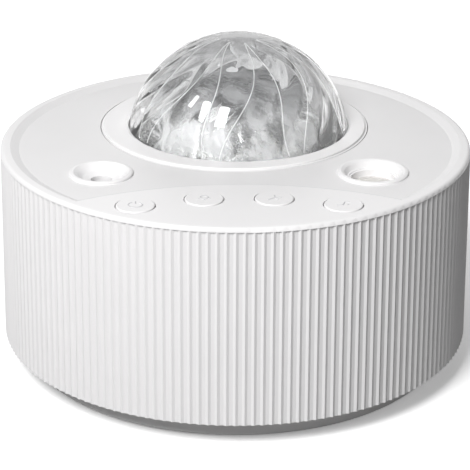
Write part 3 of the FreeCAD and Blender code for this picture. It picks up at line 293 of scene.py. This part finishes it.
def milky_highlight_patches(material):
    """Patches of a clear finish turn a little milky, with soft edges between; the milky white is a painted
    highlight.
    """
    tree = material.node_tree
    shader = tree.nodes["Principled BSDF"]
    patch = noise_node(tree, object_coordinates(tree, PATCH_STRETCH), PATCH_SCALE)
    tree.links.new(between(tree, patch, PATCH_EDGE, PATCH_GLASS), shader.inputs["Transmission Weight"])


def circuit(name, mask, track):
    """A solder mask with copper tracks showing through."""
    material, tree, shader = new_material(name)
    place = object_coordinates(tree)
    tracks = add(tree, "ShaderNodeTexBrick")
    tracks.inputs["Scale"].default_value = 260
    tracks.inputs["Mortar Size"].default_value = 0.08
    tracks.inputs["Color1"].default_value = (*mask, 1)
    tracks.inputs["Color2"].default_value = (*shade(mask, 1.08), 1)
    tracks.inputs["Mortar"].default_value = (*track, 1)
    tree.links.new(place, tracks.inputs["Vector"])
    tree.links.new(tracks.outputs["Color"], shader.inputs["Base Color"])
    tree.links.new(remap(tree, noise_node(tree, place, 300), 0.3, 0.42), shader.inputs["Roughness"])
    return material


def fibre(name, color):
    """Pressed paper fibre for the loudspeaker's cone."""
    material, tree, shader = new_material(name)
    place = object_coordinates(tree)
    fibres = noise_node(tree, place, 1800, 6.0)
    tree.links.new(ramp(tree, fibres, [(0.3, shade(color, 0.7)), (0.7, color)]),
                   shader.inputs["Base Color"])
    shader.inputs["Roughness"].default_value = 0.9
    bump(tree, shader, fibres, 0.6, 0.00005)
    return material


WHITE = (0.83, 0.822, 0.826)
PLATE_RADIUS = 79.0
# Share of the white kept on the sunk plate: painted shade
PLATE_SHADE_SHARE = 0.93
PANEL_CENTRE = (0, -149.6)
PANEL_RADIUS = 105.4
# Two heights in millimetres, and the colours from the lower to the upper; the grey at the crown is painted
# shade
DOME_PAINTED_SHADE = (78, 108, [(0.0, (0.95, 0.953, 0.955)), (0.35, (0.93, 0.932, 0.935)),
                        (0.6, (0.56, 0.563, 0.566)), (1.0, (0.5, 0.503, 0.506))])
finishes = {
    "cover_white": moulded("cover_white", WHITE, 0.3, 2600, 0.000004, paint=cover_colour_and_plate_shade),
    "white_gloss": moulded("white_gloss", WHITE, 0.3, 2600, 0.000004),
    "white_wall": moulded("white_wall", WHITE, 0.42, 2200, 0.000006, specular=0.12),
    "base_grey": moulded("base_grey", (0.74, 0.735, 0.735), 0.5),
    "clear_dome": clear("clear_dome", None, 0.02, 90, 0.00006, heights=DOME_PAINTED_SHADE),
    "clear_wave": clear("clear_wave", (0.95, 0.955, 0.96), 0.03, 520, 0.0009, glass=0.94),
    "clear_lens": clear("clear_lens", (0.93, 0.935, 0.94), 0.02, 200, 0.00002),
    "deck_plastic": moulded("deck_plastic", (0.55, 0.56, 0.57), 0.5),
    "gear_plastic": moulded("gear_plastic", (0.78, 0.78, 0.76), 0.42),
    "steel": metal("steel", (0.6, 0.6, 0.61), 0.32),
    "brass": metal("brass", (0.72, 0.52, 0.22), 0.28, (1, 1, 12)),
    "heat_metal": metal("heat_metal", (0.72, 0.73, 0.75), 0.36),
    "circuit_green": circuit("circuit_green", (0.02, 0.16, 0.07), (0.08, 0.34, 0.16)),
    "circuit_white": circuit("circuit_white", (0.74, 0.74, 0.72), (0.62, 0.62, 0.6)),
    "lamp_yellow": moulded("lamp_yellow", (0.86, 0.83, 0.7), 0.35),
    "lens_frost": clear("lens_frost", (0.86, 0.84, 0.81), 0.12, 300, 0.00005, glass=0.45),
    # Grey for the icons and the panel line: painted shade
    "painted_shade_grey": moulded("painted_shade_grey", (0.6, 0.6, 0.61), 0.35),
    "switch_black": moulded("switch_black", (0.03, 0.03, 0.032), 0.45),
    "pad_rubber": moulded("pad_rubber", (0.05, 0.05, 0.05), 0.8, 900, 0.00004),
    "film_dark": moulded("film_dark", (0.02, 0.02, 0.03), 0.2),
    "motor_can": metal("motor_can", (0.5, 0.5, 0.51), 0.3, (1, 1, 10)),
    "cone_paper": fibre("cone_paper", (0.05, 0.05, 0.052)),
    "magnet_grey": moulded("magnet_grey", (0.1, 0.1, 0.105), 0.55),
    "seam_painted_glint": painted_glint("seam_painted_glint", (0.95, 0.955, 0.96), 0.8),
    "motif_white": moulded("motif_white", (0.93, 0.93, 0.93), 0.3, 900, 0.00001),
}
# Painted highlight: milky patches stand in for the rippled lens's bright reflections
milky_highlight_patches(finishes["clear_wave"])

# Finishes and smooth shading of the CAD nodes

def smooth(mesh, degrees):
    """Smooth shading with the edges above an angle kept sharp."""
    for face in mesh.polygons:
        face.use_smooth = True
    mesh.set_sharp_from_angle(angle=math.radians(degrees))


SHARP_ABOVE = 32
SOFT_FLUTES = 60
node_finish = {row["node"]: row["material_slot"] for row in frame["record"]["subparts"]}
node_finish["led_board"] = "circuit_white"
node_finish["top_cover"] = "cover_white"
node_finish["moon_lens"] = "lens_frost"
for name, thing in nodes.items():
    thing.data.materials.clear()
    thing.data.materials.append(finishes[node_finish[name]])
    smooth(thing.data, SOFT_FLUTES if name == "body_shell" else SHARP_ABOVE)


# Meshes

def add_mesh(name, points, faces, body, finish, degrees=35):
    mesh = bpy.data.meshes.new(name)
    mesh.from_pydata(points, [], faces)
    work = bmesh.new()
    work.from_mesh(mesh)
    bmesh.ops.remove_doubles(work, verts=work.verts, dist=1e-7)
    bmesh.ops.dissolve_degenerate(work, edges=work.edges, dist=1e-8)
    bmesh.ops.recalc_face_normals(work, faces=work.faces)
    work.to_mesh(mesh)
    work.free()
    smooth(mesh, degrees)
    thing = bpy.data.objects.new(name, mesh)
    scene.collection.objects.link(thing)
    mesh.materials.append(finishes[finish])
    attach(thing, body)
    return thing


def rounded(corners, steps=6):
    """A profile whose corners are (radius, height, rounding) and come back as soft curves."""
    line = []
    count = len(corners)
    for index, (x, y, size) in enumerate(corners):
        here = Vector((x, y))
        if size == 0:
            line.append(here)
            continue
        before = Vector(corners[index - 1][:2]) - here
        after = Vector(corners[(index + 1) % count][:2]) - here
        reach = size / math.tan(before.angle(after) / 2)
        start = here + before.normalized() * reach
        end = here + after.normalized() * reach
        for step in range(steps + 1):
            share = step / steps
            line.append((1 - share) ** 2 * start + 2 * share * (1 - share) * here + share ** 2 * end)
    return line


def lathe(name, corners, centre, body, finish, turns=160):
    """Turn a closed profile in millimetres about an upright axis through a centre."""
    line = rounded(corners)
    points = []
    for step in range(turns):
        angle = 2 * math.pi * step / turns
        for spot in line:
            points.append((centre.x + spot.x * MM * math.cos(angle),
                           centre.y + spot.x * MM * math.sin(angle), spot.y * MM))
    count = len(line)
    faces = []
    for step in range(turns):
        here, there = step * count, (step + 1) % turns * count
        for index in range(count):
            following = (index + 1) % count
            faces.append((here + index, there + index, there + following, here + following))
    return add_mesh(name, points, faces, body, finish)


# Dome: lobes outside and inside that run against each other, and bright seams whose white is a painted glint

DOME_CENTRE = middle("dome")
SOLID_DOME_RADIUS = 41.5
DOME_RADIUS = 40.3
DOME_SHIFT = 1.5
FLAT_CROWN_ANGLE = 4.0
DOME_BALL_Z = top("dome") - SOLID_DOME_RADIUS * math.cos(math.radians(FLAT_CROWN_ANGLE))
DOME_WALL = 2.4
FLANGE_RADIUS = radius_of("dome")
FLANGE_THICKNESS = 1.5
LOBES = 16
LOBE_STEP = 360 / LOBES
LOBE_DEPTH = 0.5
LOBE_FADE_START = 16
LOBE_FADE_SPAN = 34
OUTER_FIRST = 2.8
OUTER_SWAY = 3.0
INNER_FIRST = 2.2
INNER_STRAIGHT = 49
SWAY_START = 20
SWAY_SPAN = 70
# Degrees wound after one span, the slant where the winding starts, and the span
OUTER_WIND = (28.0, 34, 20)
INNER_WIND = (22.0, 30, 12)
SPOKES_PER_LOBE = 20
OUTER_RINGS = 70
INNER_RINGS = 60


def sway(slant):
    """One slack S, from a start near the crown down to the foot."""
    return math.sin(math.radians((slant - SWAY_START) / SWAY_SPAN * 360))


def wind(slant, degrees, start, span):
    """Nought from the foot up to the start, and then faster and faster towards the crown."""
    return degrees * max(0.0, (start - slant) / span) ** 2


def outer_turn(slant):
    """Degrees that an outer valley has turned at so many degrees from the crown: a slack S."""
    return OUTER_SWAY * sway(slant) - wind(slant, *OUTER_WIND)


def inner_turn(slant):
    """Degrees that an inner valley has turned: a steady slope that winds up at the crown."""
    return INNER_STRAIGHT - slant + wind(slant, *INNER_WIND)


def sphere_spot(reach, slant, bearing):
    """A point of the dome; slant from the crown, bearing from the front towards +X, in degrees."""
    tilt, turn = math.radians(slant), math.radians(bearing)
    return Vector((DOME_CENTRE.x + (DOME_SHIFT + reach * math.sin(tilt) * math.sin(turn)) * MM,
                   DOME_CENTRE.y - reach * MM * math.sin(tilt) * math.cos(turn),
                   (DOME_BALL_Z + reach * math.cos(tilt)) * MM))


def lobe(bearing, slant, first, turn):
    """How far a point lies between two valleys: 0 at a valley and 1 half-way."""
    share = (bearing - first - turn(slant)) / LOBE_STEP % 1.0
    return math.sin(math.pi * share)


def dome_skin(outside, lowest, rings, spokes):
    """Rows of points over the outer or the inner face, from the crown down to a slant."""
    rows = []
    for ring in range(1, rings + 1):
        slant = lowest * ring / rings
        fade = min(1.0, max(0.0, (slant - LOBE_FADE_START) / LOBE_FADE_SPAN))
        row = []
        for spoke in range(spokes):
            bearing = 360 * spoke / spokes
            if outside:
                rise = lobe(bearing, slant, OUTER_FIRST, outer_turn)
                reach = DOME_RADIUS - LOBE_DEPTH * fade * (1 - rise)
            else:
                rise = lobe(bearing, slant, INNER_FIRST, inner_turn)
                reach = DOME_RADIUS - DOME_WALL - LOBE_DEPTH * fade * rise
            row.append(sphere_spot(reach, slant, bearing))
        rows.append(row)
    return rows


def make_dome():
    spokes = LOBES * SPOKES_PER_LOBE
    flange_bottom = bottom("dome")
    flange_top = flange_bottom + FLANGE_THICKNESS
    outer_low = math.degrees(math.acos((flange_top - DOME_BALL_Z) / DOME_RADIUS))
    inner_low = math.degrees(math.acos((flange_bottom - DOME_BALL_Z) / (DOME_RADIUS - DOME_WALL)))
    rows = dome_skin(True, outer_low, OUTER_RINGS, spokes)
    for height in (flange_top, flange_bottom):
        rows.append([Vector((DOME_CENTRE.x + FLANGE_RADIUS * MM * math.sin(turn),
                             DOME_CENTRE.y - FLANGE_RADIUS * MM * math.cos(turn), height * MM))
                     for turn in (2 * math.pi * spoke / spokes for spoke in range(spokes))])
    rows += reversed(dome_skin(False, inner_low, INNER_RINGS, spokes))
    points = [spot for row in rows for spot in row]
    faces = []
    for row in range(len(rows) - 1):
        here, below = row * spokes, (row + 1) * spokes
        for spoke in range(spokes):
            after = (spoke + 1) % spokes
            faces.append((here + spoke, below + spoke, below + after, here + after))
    last = (len(rows) - 1) * spokes
    points += [sphere_spot(DOME_RADIUS, 0, 0), sphere_spot(DOME_RADIUS - DOME_WALL, 0, 0)]
    for spoke in range(spokes):
        after = (spoke + 1) % spokes
        faces.append((len(points) - 2, spoke, after))
        faces.append((last + spoke, len(points) - 1, last + after))
    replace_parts(add_mesh("clear_cap", points, faces, "housing", "clear_dome", degrees=50), "dome")


def tube(line, size, sides=6):
    """Points and faces of a thin tube along a line, closed at both ends."""
    points = []
    for index, spot in enumerate(line):
        ahead = (line[min(index + 1, len(line) - 1)] - line[max(index - 1, 0)]).normalized()
        side = ahead.cross(Vector((0, 0, 1)))
        side = side.normalized() if side.length > 1e-6 else Vector((1, 0, 0))
        rise = side.cross(ahead)
        for step in range(sides):
            turn = 2 * math.pi * step / sides
            points.append(spot + (side * math.cos(turn) + rise * math.sin(turn)) * size * MM)
    faces = [tuple(range(sides)), tuple(range(len(points) - 1, len(points) - 1 - sides, -1))]
    for index in range(len(line) - 1):
        for step in range(sides):
            after = (step + 1) % sides
            faces.append((index * sides + step, index * sides + after,
                          (index + 1) * sides + after, (index + 1) * sides + step))
    return points, faces


def join_pieces(name, pieces, body, finish):
    points, faces = [], []
    for some_points, some_faces in pieces:
        start = len(points)
        points += some_points
        faces += [tuple(start + index for index in face) for face in some_faces]
    return add_mesh(name, points, faces, body, finish)


SEAM_TOP = 10
SEAM_LOW = 79
SEAM_STEPS = 40
SEAM_SIZE = 0.17
SEAM_LIFT = 0.05
SEAM_SWAY = 4.0
SEAM_LEANS = (-0.36, 0.12)
SEAM_STRAIGHT = 50


def seam_turn(slant, index):
    """Degrees that a seam has turned: a slack S, leaning one way and then the other in turn."""
    return SEAM_SWAY * sway(slant) + SEAM_LEANS[index % 2] * (slant - SEAM_STRAIGHT)


# The seams are thin ridges; their white colour is a painted glint on them
def make_seams():
    lines = []
    for index in range(LOBES):
        line = []
        for step in range(SEAM_STEPS + 1):
            slant = SEAM_TOP + (SEAM_LOW - SEAM_TOP) * step / SEAM_STEPS
            line.append(sphere_spot(DOME_RADIUS - LOBE_DEPTH + SEAM_LIFT, slant,
                                    OUTER_FIRST + LOBE_STEP * index + seam_turn(slant, index)))
        lines.append(tube(line, SEAM_SIZE))
    join_pieces("outer_seams", lines, "housing", "seam_painted_glint")


make_dome()
make_seams()


# Small white motifs on the inside of the dome

def star_outline(points, waist):
    """A star with its tips at a reach of 1, one of them upright, and its notches at the waist."""
    line = []
    for index in range(2 * points):
        reach = 1 if index % 2 == 0 else waist
        turn = math.pi * index / points + math.pi / 2
        line.append((reach * math.cos(turn), reach * math.sin(turn)))
    return line


def cloud_outline():
    """Three round tops over a flat foot."""
    line = []
    for x, y, size, start, end in ((-0.55, -0.05, 0.42, 270, 100), (-0.05, 0.25, 0.45, 150, 30),
                                   (0.5, 0.0, 0.42, 80, -90)):
        for step in range(7):
            turn = math.radians(start + (end - start) * step / 6)
            line.append((x + size * math.cos(turn), y + size * math.sin(turn)))
    return line


# Outline, bearing and slant of the middle, size in millimetres and lean. All angles are in degrees
MOTIFS = (
    (cloud_outline(), -8.3, 29.2, 2.1, 0),
    (star_outline(4, 0.45), -10.8, 55.8, 2.0, 25),
    (star_outline(5, 0.45), 51.6, 53.6, 1.9, 10),
    (star_outline(5, 0.4), 32.4, 35.9, 2.2, -20),
    (star_outline(2, 0.45), 62.0, 47.0, 1.8, 35),
    ([(-0.28, -1), (0.28, -1), (0.28, 1), (-0.28, 1)], -32.8, 50.9, 2.4, -22),
    (star_outline(3, 0.4), 37.5, 8.0, 2.2, 60),
)
MOTIF_THICKNESS = 0.15


def make_motifs():
    pieces = []
    base = DOME_RADIUS - DOME_WALL - LOBE_DEPTH - MOTIF_THICKNESS
    for outline, bearing, slant, size, lean in MOTIFS:
        tilt = math.radians(lean)
        circle_radius = base * math.sin(math.radians(slant))
        points = []
        for reach in (base, base - MOTIF_THICKNESS):
            for x, y in outline:
                across = (x * math.cos(tilt) - y * math.sin(tilt)) * size
                along = (x * math.sin(tilt) + y * math.cos(tilt)) * size
                points.append(sphere_spot(reach, slant - math.degrees(along / base),
                                          bearing + math.degrees(across / circle_radius)))
        count = len(outline)
        faces = [tuple(range(count)), tuple(range(2 * count - 1, count - 1, -1))]
        faces += [(index, (index + 1) % count, count + (index + 1) % count, count + index)
                  for index in range(count)]
        pieces.append((points, faces))
    join_pieces("sky_motifs", pieces, "housing", "motif_white")


make_motifs()


# Wave lens: a rippled cap that turns with the turntable

WAVE_RIBS = 28
WAVE_RADIUS = radius_of("wave_lens")
WAVE_FOOT = bottom("wave_lens")
WAVE_HEIGHT = top("wave_lens") - WAVE_FOOT
WAVE_WALL = 1.7
WAVE_SPOKES = WAVE_RIBS * 12
WAVE_RINGS = 44
WAVE_CROWN = 86
WAVE_TWIST = 5.0
WAVE_SWELL = 0.4
SWELL_STEP = 1.1
OUTER_RIPPLE = 0.9
INNER_RIPPLE = 0.25
# Number round the lens, share of the depth and twist, for the ribs, the broad ripples and the fine ones
RIPPLES = ((WAVE_RIBS, 1, 1), (11, 0.6, -2.3), (47, 0.5, 9))


def groove(turn):
    """Nought on a ridge and one at the bottom of the groove beside it."""
    return 0.5 - 0.5 * math.cos(turn)


def wave_row(reach, level, depth, twist, spokes):
    """One ring of the lens, with ribs, broad ripples and fine ones pressed into it."""
    row = []
    for spoke in range(spokes):
        turn = 2 * math.pi * spoke / spokes
        ripple = sum(depth * share * groove(count * turn + slope * twist)
                     for count, share, slope in RIPPLES)
        row.append(Vector((DOME_CENTRE.x + (reach - ripple) * MM * math.cos(turn),
                           DOME_CENTRE.y + (reach - ripple) * MM * math.sin(turn), level * MM)))
    return row


def make_wave_lens():
    spokes, rings = WAVE_SPOKES, WAVE_RINGS
    rows = []
    for skin, inset in (("outer", 0.0), ("inner", WAVE_WALL)):
        part = []
        for ring in range(rings + 1):
            slant = math.radians(WAVE_CROWN * ring / rings)
            reach = (WAVE_RADIUS - inset) * math.cos(slant)
            level = WAVE_FOOT + (WAVE_HEIGHT - inset) * math.sin(slant)
            if 0 < ring < rings:
                level -= WAVE_SWELL * math.sin(ring * SWELL_STEP) * math.cos(slant) ** 2
            depth = OUTER_RIPPLE * math.cos(slant) ** 2 if skin == "outer" else INNER_RIPPLE
            part.append(wave_row(reach, level, depth, WAVE_TWIST * slant, spokes))
        rows += part if skin == "outer" else part[::-1]
    points = [spot for row in rows for spot in row]
    faces = []
    count = len(rows)
    for row in range(count):
        if row == rings:
            continue
        here, below = row * spokes, (row + 1) % count * spokes
        for spoke in range(spokes):
            after = (spoke + 1) % spokes
            faces.append((here + spoke, below + spoke, below + after, here + after))
    for row, inset in ((rings, 0.0), (rings + 1, WAVE_WALL)):
        points.append(Vector((DOME_CENTRE.x, DOME_CENTRE.y, (WAVE_FOOT + WAVE_HEIGHT - inset) * MM)))
        for spoke in range(spokes):
            faces.append((row * spokes + spoke, row * spokes + (spoke + 1) % spokes, len(points) - 1))
    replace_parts(add_mesh("rippled_cap", points, faces, "turntable", "clear_wave", degrees=60), "wave_lens")


make_wave_lens()


# Ring round the dome, wider on the left than on the right

RING_RADIUS = 47.2
RING_RISE = 0.8
RING_GAP = 0.15


def make_ring():
    """A ring whose hole follows the dome, while its rim keeps to the seat in the cover."""
    low, high = bottom("dome_ring"), top("dome_ring")
    seat = radius_of("dome_ring")
    centre = middle("dome_ring")
    plate = high - RING_RISE
    inner = math.sqrt(DOME_RADIUS ** 2 - (high - DOME_BALL_Z) ** 2) + RING_GAP
    ring = lathe("ring_trim", [
        (inner + 0.4, low, 0), (seat, low, 0), (seat, plate, 0), (RING_RADIUS, plate, 0),
        (RING_RADIUS, high, 0.45), (inner + 1.0, high, 0.25), (inner, high - 0.45, 0.15)],
        centre, "housing", "white_gloss")
    for vertex in ring.data.vertices:
        reach = (vertex.co - centre).xy.length / MM
        share = (RING_RADIUS - reach) / (RING_RADIUS - inner)
        vertex.co.x += DOME_SHIFT * MM * min(1.0, max(0.0, share))
    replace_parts(ring, "dome_ring")


make_ring()


# Thin grey line along the front panel: painted shade where the panel steps up from the plate

PANEL_LINE = 0.3
PANEL_LINE_RISE = 0.04
PANEL_HALF_STEPS = 40


def make_panel_line():
    """The line runs between the two corners where the panel's arc meets the edge of the plate."""
    back = -PANEL_CENTRE[1]
    corner_reach = (back ** 2 + PANEL_RADIUS ** 2 - PLATE_RADIUS ** 2) / (2 * back)
    half = math.acos(corner_reach / PANEL_RADIUS)
    level = top("top_cover") - PANEL_LINE + PANEL_LINE_RISE
    line = []
    for step in range(2 * PANEL_HALF_STEPS + 1):
        turn = half * (step / PANEL_HALF_STEPS - 1)
        line.append(Vector((PANEL_RADIUS * math.sin(turn),
                            PANEL_CENTRE[1] + PANEL_RADIUS * math.cos(turn), level)) * MM)
    # The grey tube is painted shade along the step
    join_pieces("panel_line", [tube(line, PANEL_LINE, 10)], "housing", "painted_shade_grey")


make_panel_line()


# Port collars with broad soft lips

COLLAR_LIP = 1.0


def make_star_collar():
    low, high = bottom("star_port_collar"), top("star_port_collar")
    plate = high - COLLAR_LIP
    thing = lathe("star_collar", [
        (3.6, low + 1.6, 0), (5.05, low + 1.6, 0), (5.05, low, 0), (10.4, low, 0), (10.4, plate, 0),
        (10.8, plate, 0), (10.8, high - 0.15, 0.5), (9.5, high + 0.1, 0.7), (8.0, high - 0.9, 0.8),
        (6.3, high - 2.2, 1.2), (3.6, high - 3.0, 0.2)],
        middle("star_port_collar"), "housing", "white_gloss")
    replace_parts(thing, "star_port_collar")


def make_moon_collar():
    low, high = bottom("moon_port_collar"), top("moon_port_collar")
    plate = high - COLLAR_LIP
    thing = lathe("moon_collar", [
        (8.2, low, 0), (10.9, low, 0), (10.9, plate, 0), (12.1, plate, 0), (12.1, high - 0.15, 0.6),
        (10.9, high + 0.1, 0.7), (9.8, high - 0.5, 0.5), (8.7, high - 2.3, 0.15),
        (8.1, high - 2.3, 0.15), (8.0, high - 2.75, 0.1), (7.4, high - 2.75, 0.12),
        (7.4, low + 1.3, 0), (8.2, low + 1.3, 0)],
        middle("moon_port_collar"), "housing", "white_gloss")
    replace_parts(thing, "moon_port_collar")


make_star_collar()
make_moon_collar()


# Button caps with raised icons, whose grey is painted shade

ICON_RISE = 0.2
CAP_DISH = 0.08
CAP_HEIGHT = 4.5
CAP_FLANGE = 1.1


def arc_line(x, y, size, start, end, steps=20):
    """An arc about a centre, between two bearings in degrees."""
    turns = [math.radians(start + (end - start) * step / steps) for step in range(steps + 1)]
    return [(x + size * math.cos(turn), y + size * math.sin(turn)) for turn in turns]


# Each icon is a few strokes, a line of points and a half width, in millimetres from the middle
ICONS = {
    "power": ((arc_line(0, 0, 2.3, 118, 422), 0.3), ([(0, 0.6), (0, 2.7)], 0.3)),
    "light": ((arc_line(0.1, 0.7, 1.3, 0, 360), 0.3), ([(-2.0, -0.6), (-1.3, -0.2)], 0.25),
              ([(0.1, -1.7), (0.1, -1.2)], 0.25), ([(2.2, -0.6), (1.5, -0.2)], 0.25)),
    "star": (([(-2.1, -1.7), (0.2, 0.2)], 0.5), ([(0.2, 0.2), (0.1, 2.2)], 0.3),
             ([(0.2, 0.2), (2.5, 0.4)], 0.35), ([(0.2, 0.2), (1.3, -1.4)], 0.25)),
    "sound": (([(-2.2, -1.0), (-0.4, -1.0), (0.5, 1.6), (2.1, 1.5)], 0.42),
              ([(1.2, -0.7), (1.7, -0.2)], 0.25)),
}


def make_button(name):
    node = name + "_button"
    centre = middle(node)
    high, low = top(node), bottom(node)
    flange = high - CAP_HEIGHT
    under, dish = flange - CAP_FLANGE, high - CAP_DISH
    cap = lathe(name + "_cap", [
        (0, low, 0), (2.2, low, 0), (2.2, under, 0), (7.3, under, 0), (7.3, flange, 0),
        (6.4, flange, 0), (6.4, high, 0.55), (5.5, dish, 0.4), (0, dish, 0)],
        centre, name + "_key", "white_gloss", 96)
    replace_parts(cap, node)
    strokes = []
    for line, size in ICONS[name]:
        level = (dish + ICON_RISE - size) * MM
        strokes.append(tube([Vector((centre.x + x * MM, centre.y + y * MM, level)) for x, y in line],
                            size, 10))
    # The raised icons are white like the caps; their grey is painted shade
    join_pieces(name + "_icon", strokes, name + "_key", "painted_shade_grey")


for name in ICONS:
    make_button(name)


# Camera, at the photograph's place

VIEW_HEIGHT = 77.1 * MM
CAMERA_REACH = 0.7010
CAMERA_RISE = math.radians(20.12)
CAMERA_PITCH = math.radians(22.777)
CAMERA_ROLL = math.radians(0.254)
OBJECT_TURN = math.radians(1.3)
LENS = 151.98
SENSOR_WIDTH = 36
VIEW_DEPTH = 20


def make_camera():
    flat = CAMERA_REACH * math.cos(CAMERA_RISE)
    place = Vector((-flat * math.sin(OBJECT_TURN), -flat * math.cos(OBJECT_TURN),
                    CAMERA_REACH * math.sin(CAMERA_RISE) + VIEW_HEIGHT))
    ahead = Vector((math.sin(OBJECT_TURN) * math.cos(CAMERA_PITCH),
                    math.cos(OBJECT_TURN) * math.cos(CAMERA_PITCH), -math.sin(CAMERA_PITCH)))
    right = Vector((math.cos(OBJECT_TURN), -math.sin(OBJECT_TURN), 0))
    up = right.cross(ahead)
    right_rolled = right * math.cos(CAMERA_ROLL) + up * math.sin(CAMERA_ROLL)
    up_rolled = up * math.cos(CAMERA_ROLL) - right * math.sin(CAMERA_ROLL)
    turn = Matrix((right_rolled, up_rolled, -ahead)).transposed()
    data = bpy.data.cameras.new("camera")
    data.lens = LENS
    data.sensor_width = SENSOR_WIDTH
    data.clip_end = VIEW_DEPTH
    camera = bpy.data.objects.new("camera", data)
    scene.collection.objects.link(camera)
    camera.matrix_world = Matrix.Translation(place) @ turn.to_4x4()
    scene.camera = camera


# World, lights and floor

SKY_LEVEL = 0.15
FLOOR_SEEN = (0.93, 0.93, 0.93)
FLOOR_BOUNCE = (0.27, 0.27, 0.27)
FLOOR_SIZE = 4.0
# The floor's own glow grows between two distances from the middle, in metres
GLOW_REACH = (0.085, 0.3)
GLOW_STRENGTH = (0.3, 0.8)
LAMP_AIM = Vector((0, 0, 0.06))
LAMP_REACH = 0.95
LAMP_SIZE = 0.35


def make_world():
    world = bpy.data.worlds.new("studio")
    world.use_nodes = True
    tree = world.node_tree
    background = tree.nodes["Background"]
    background.inputs["Color"].default_value = (1, 1, 1, 1)
    tree.links.new(remap(tree, seen_rays(tree), SKY_LEVEL, 1.0), background.inputs["Strength"])
    scene.world = world


def add_light(name, bearing, rise, power):
    """A square lamp aimed at the drum, at a bearing from the front towards +X."""
    turn, lift = math.radians(bearing), math.radians(rise)
    toward = Vector((math.sin(turn) * math.cos(lift), -math.cos(turn) * math.cos(lift), math.sin(lift)))
    place = LAMP_AIM + LAMP_REACH * toward
    data = bpy.data.lights.new(name, "AREA")
    data.size = LAMP_SIZE
    data.energy = power
    lamp = bpy.data.objects.new(name, data)
    scene.collection.objects.link(lamp)
    lamp.location = place
    lamp.rotation_euler = (LAMP_AIM - place).to_track_quat("-Z", "Y").to_euler()
    return lamp


def make_floor():
    """A pale floor that is seen white, keeps the shadow and throws little light back."""
    material, tree, shader = new_material("studio_floor")
    place = object_coordinates(tree)
    seen = ramp(tree, noise_node(tree, place, 6), [(0.3, shade(FLOOR_SEEN, 0.99)), (0.7, FLOOR_SEEN)])
    mix = add(tree, "ShaderNodeMix", data_type="RGBA")
    rays = seen_rays(tree)
    tree.links.new(rays, mix.inputs["Factor"])
    mix.inputs[6].default_value = (*FLOOR_BOUNCE, 1)
    tree.links.new(seen, mix.inputs[7])
    tree.links.new(mix.outputs[2], shader.inputs["Base Color"])
    shader.inputs["Roughness"].default_value = 0.95
    shader.inputs["Specular IOR Level"].default_value = 0.0
    shader.inputs["Emission Color"].default_value = (1, 1, 1, 1)
    reach = add(tree, "ShaderNodeVectorMath", operation="LENGTH")
    tree.links.new(place, reach.inputs[0])
    glow = add(tree, "ShaderNodeMath", operation="MULTIPLY")
    tree.links.new(between(tree, reach.outputs["Value"], GLOW_REACH, GLOW_STRENGTH), glow.inputs[0])
    tree.links.new(rays, glow.inputs[1])
    tree.links.new(glow.outputs[0], shader.inputs["Emission Strength"])
    corners = [(x * FLOOR_SIZE, y * FLOOR_SIZE, 0) for x, y in ((-1, -1), (1, -1), (1, 1), (-1, 1))]
    mesh = bpy.data.meshes.new("floor")
    mesh.from_pydata(corners, [], [(0, 1, 2, 3)])
    floor = bpy.data.objects.new("floor", mesh)
    scene.collection.objects.link(floor)
    mesh.materials.append(material)


make_camera()
make_world()
add_light("key", -27, 44.5, 10.0)
fill = add_light("fill", 176, 9, 2.4)
fill.visible_camera = False
fill.visible_glossy = False
fill.visible_transmission = False
make_floor()

scene.view_settings.view_transform = "Standard"
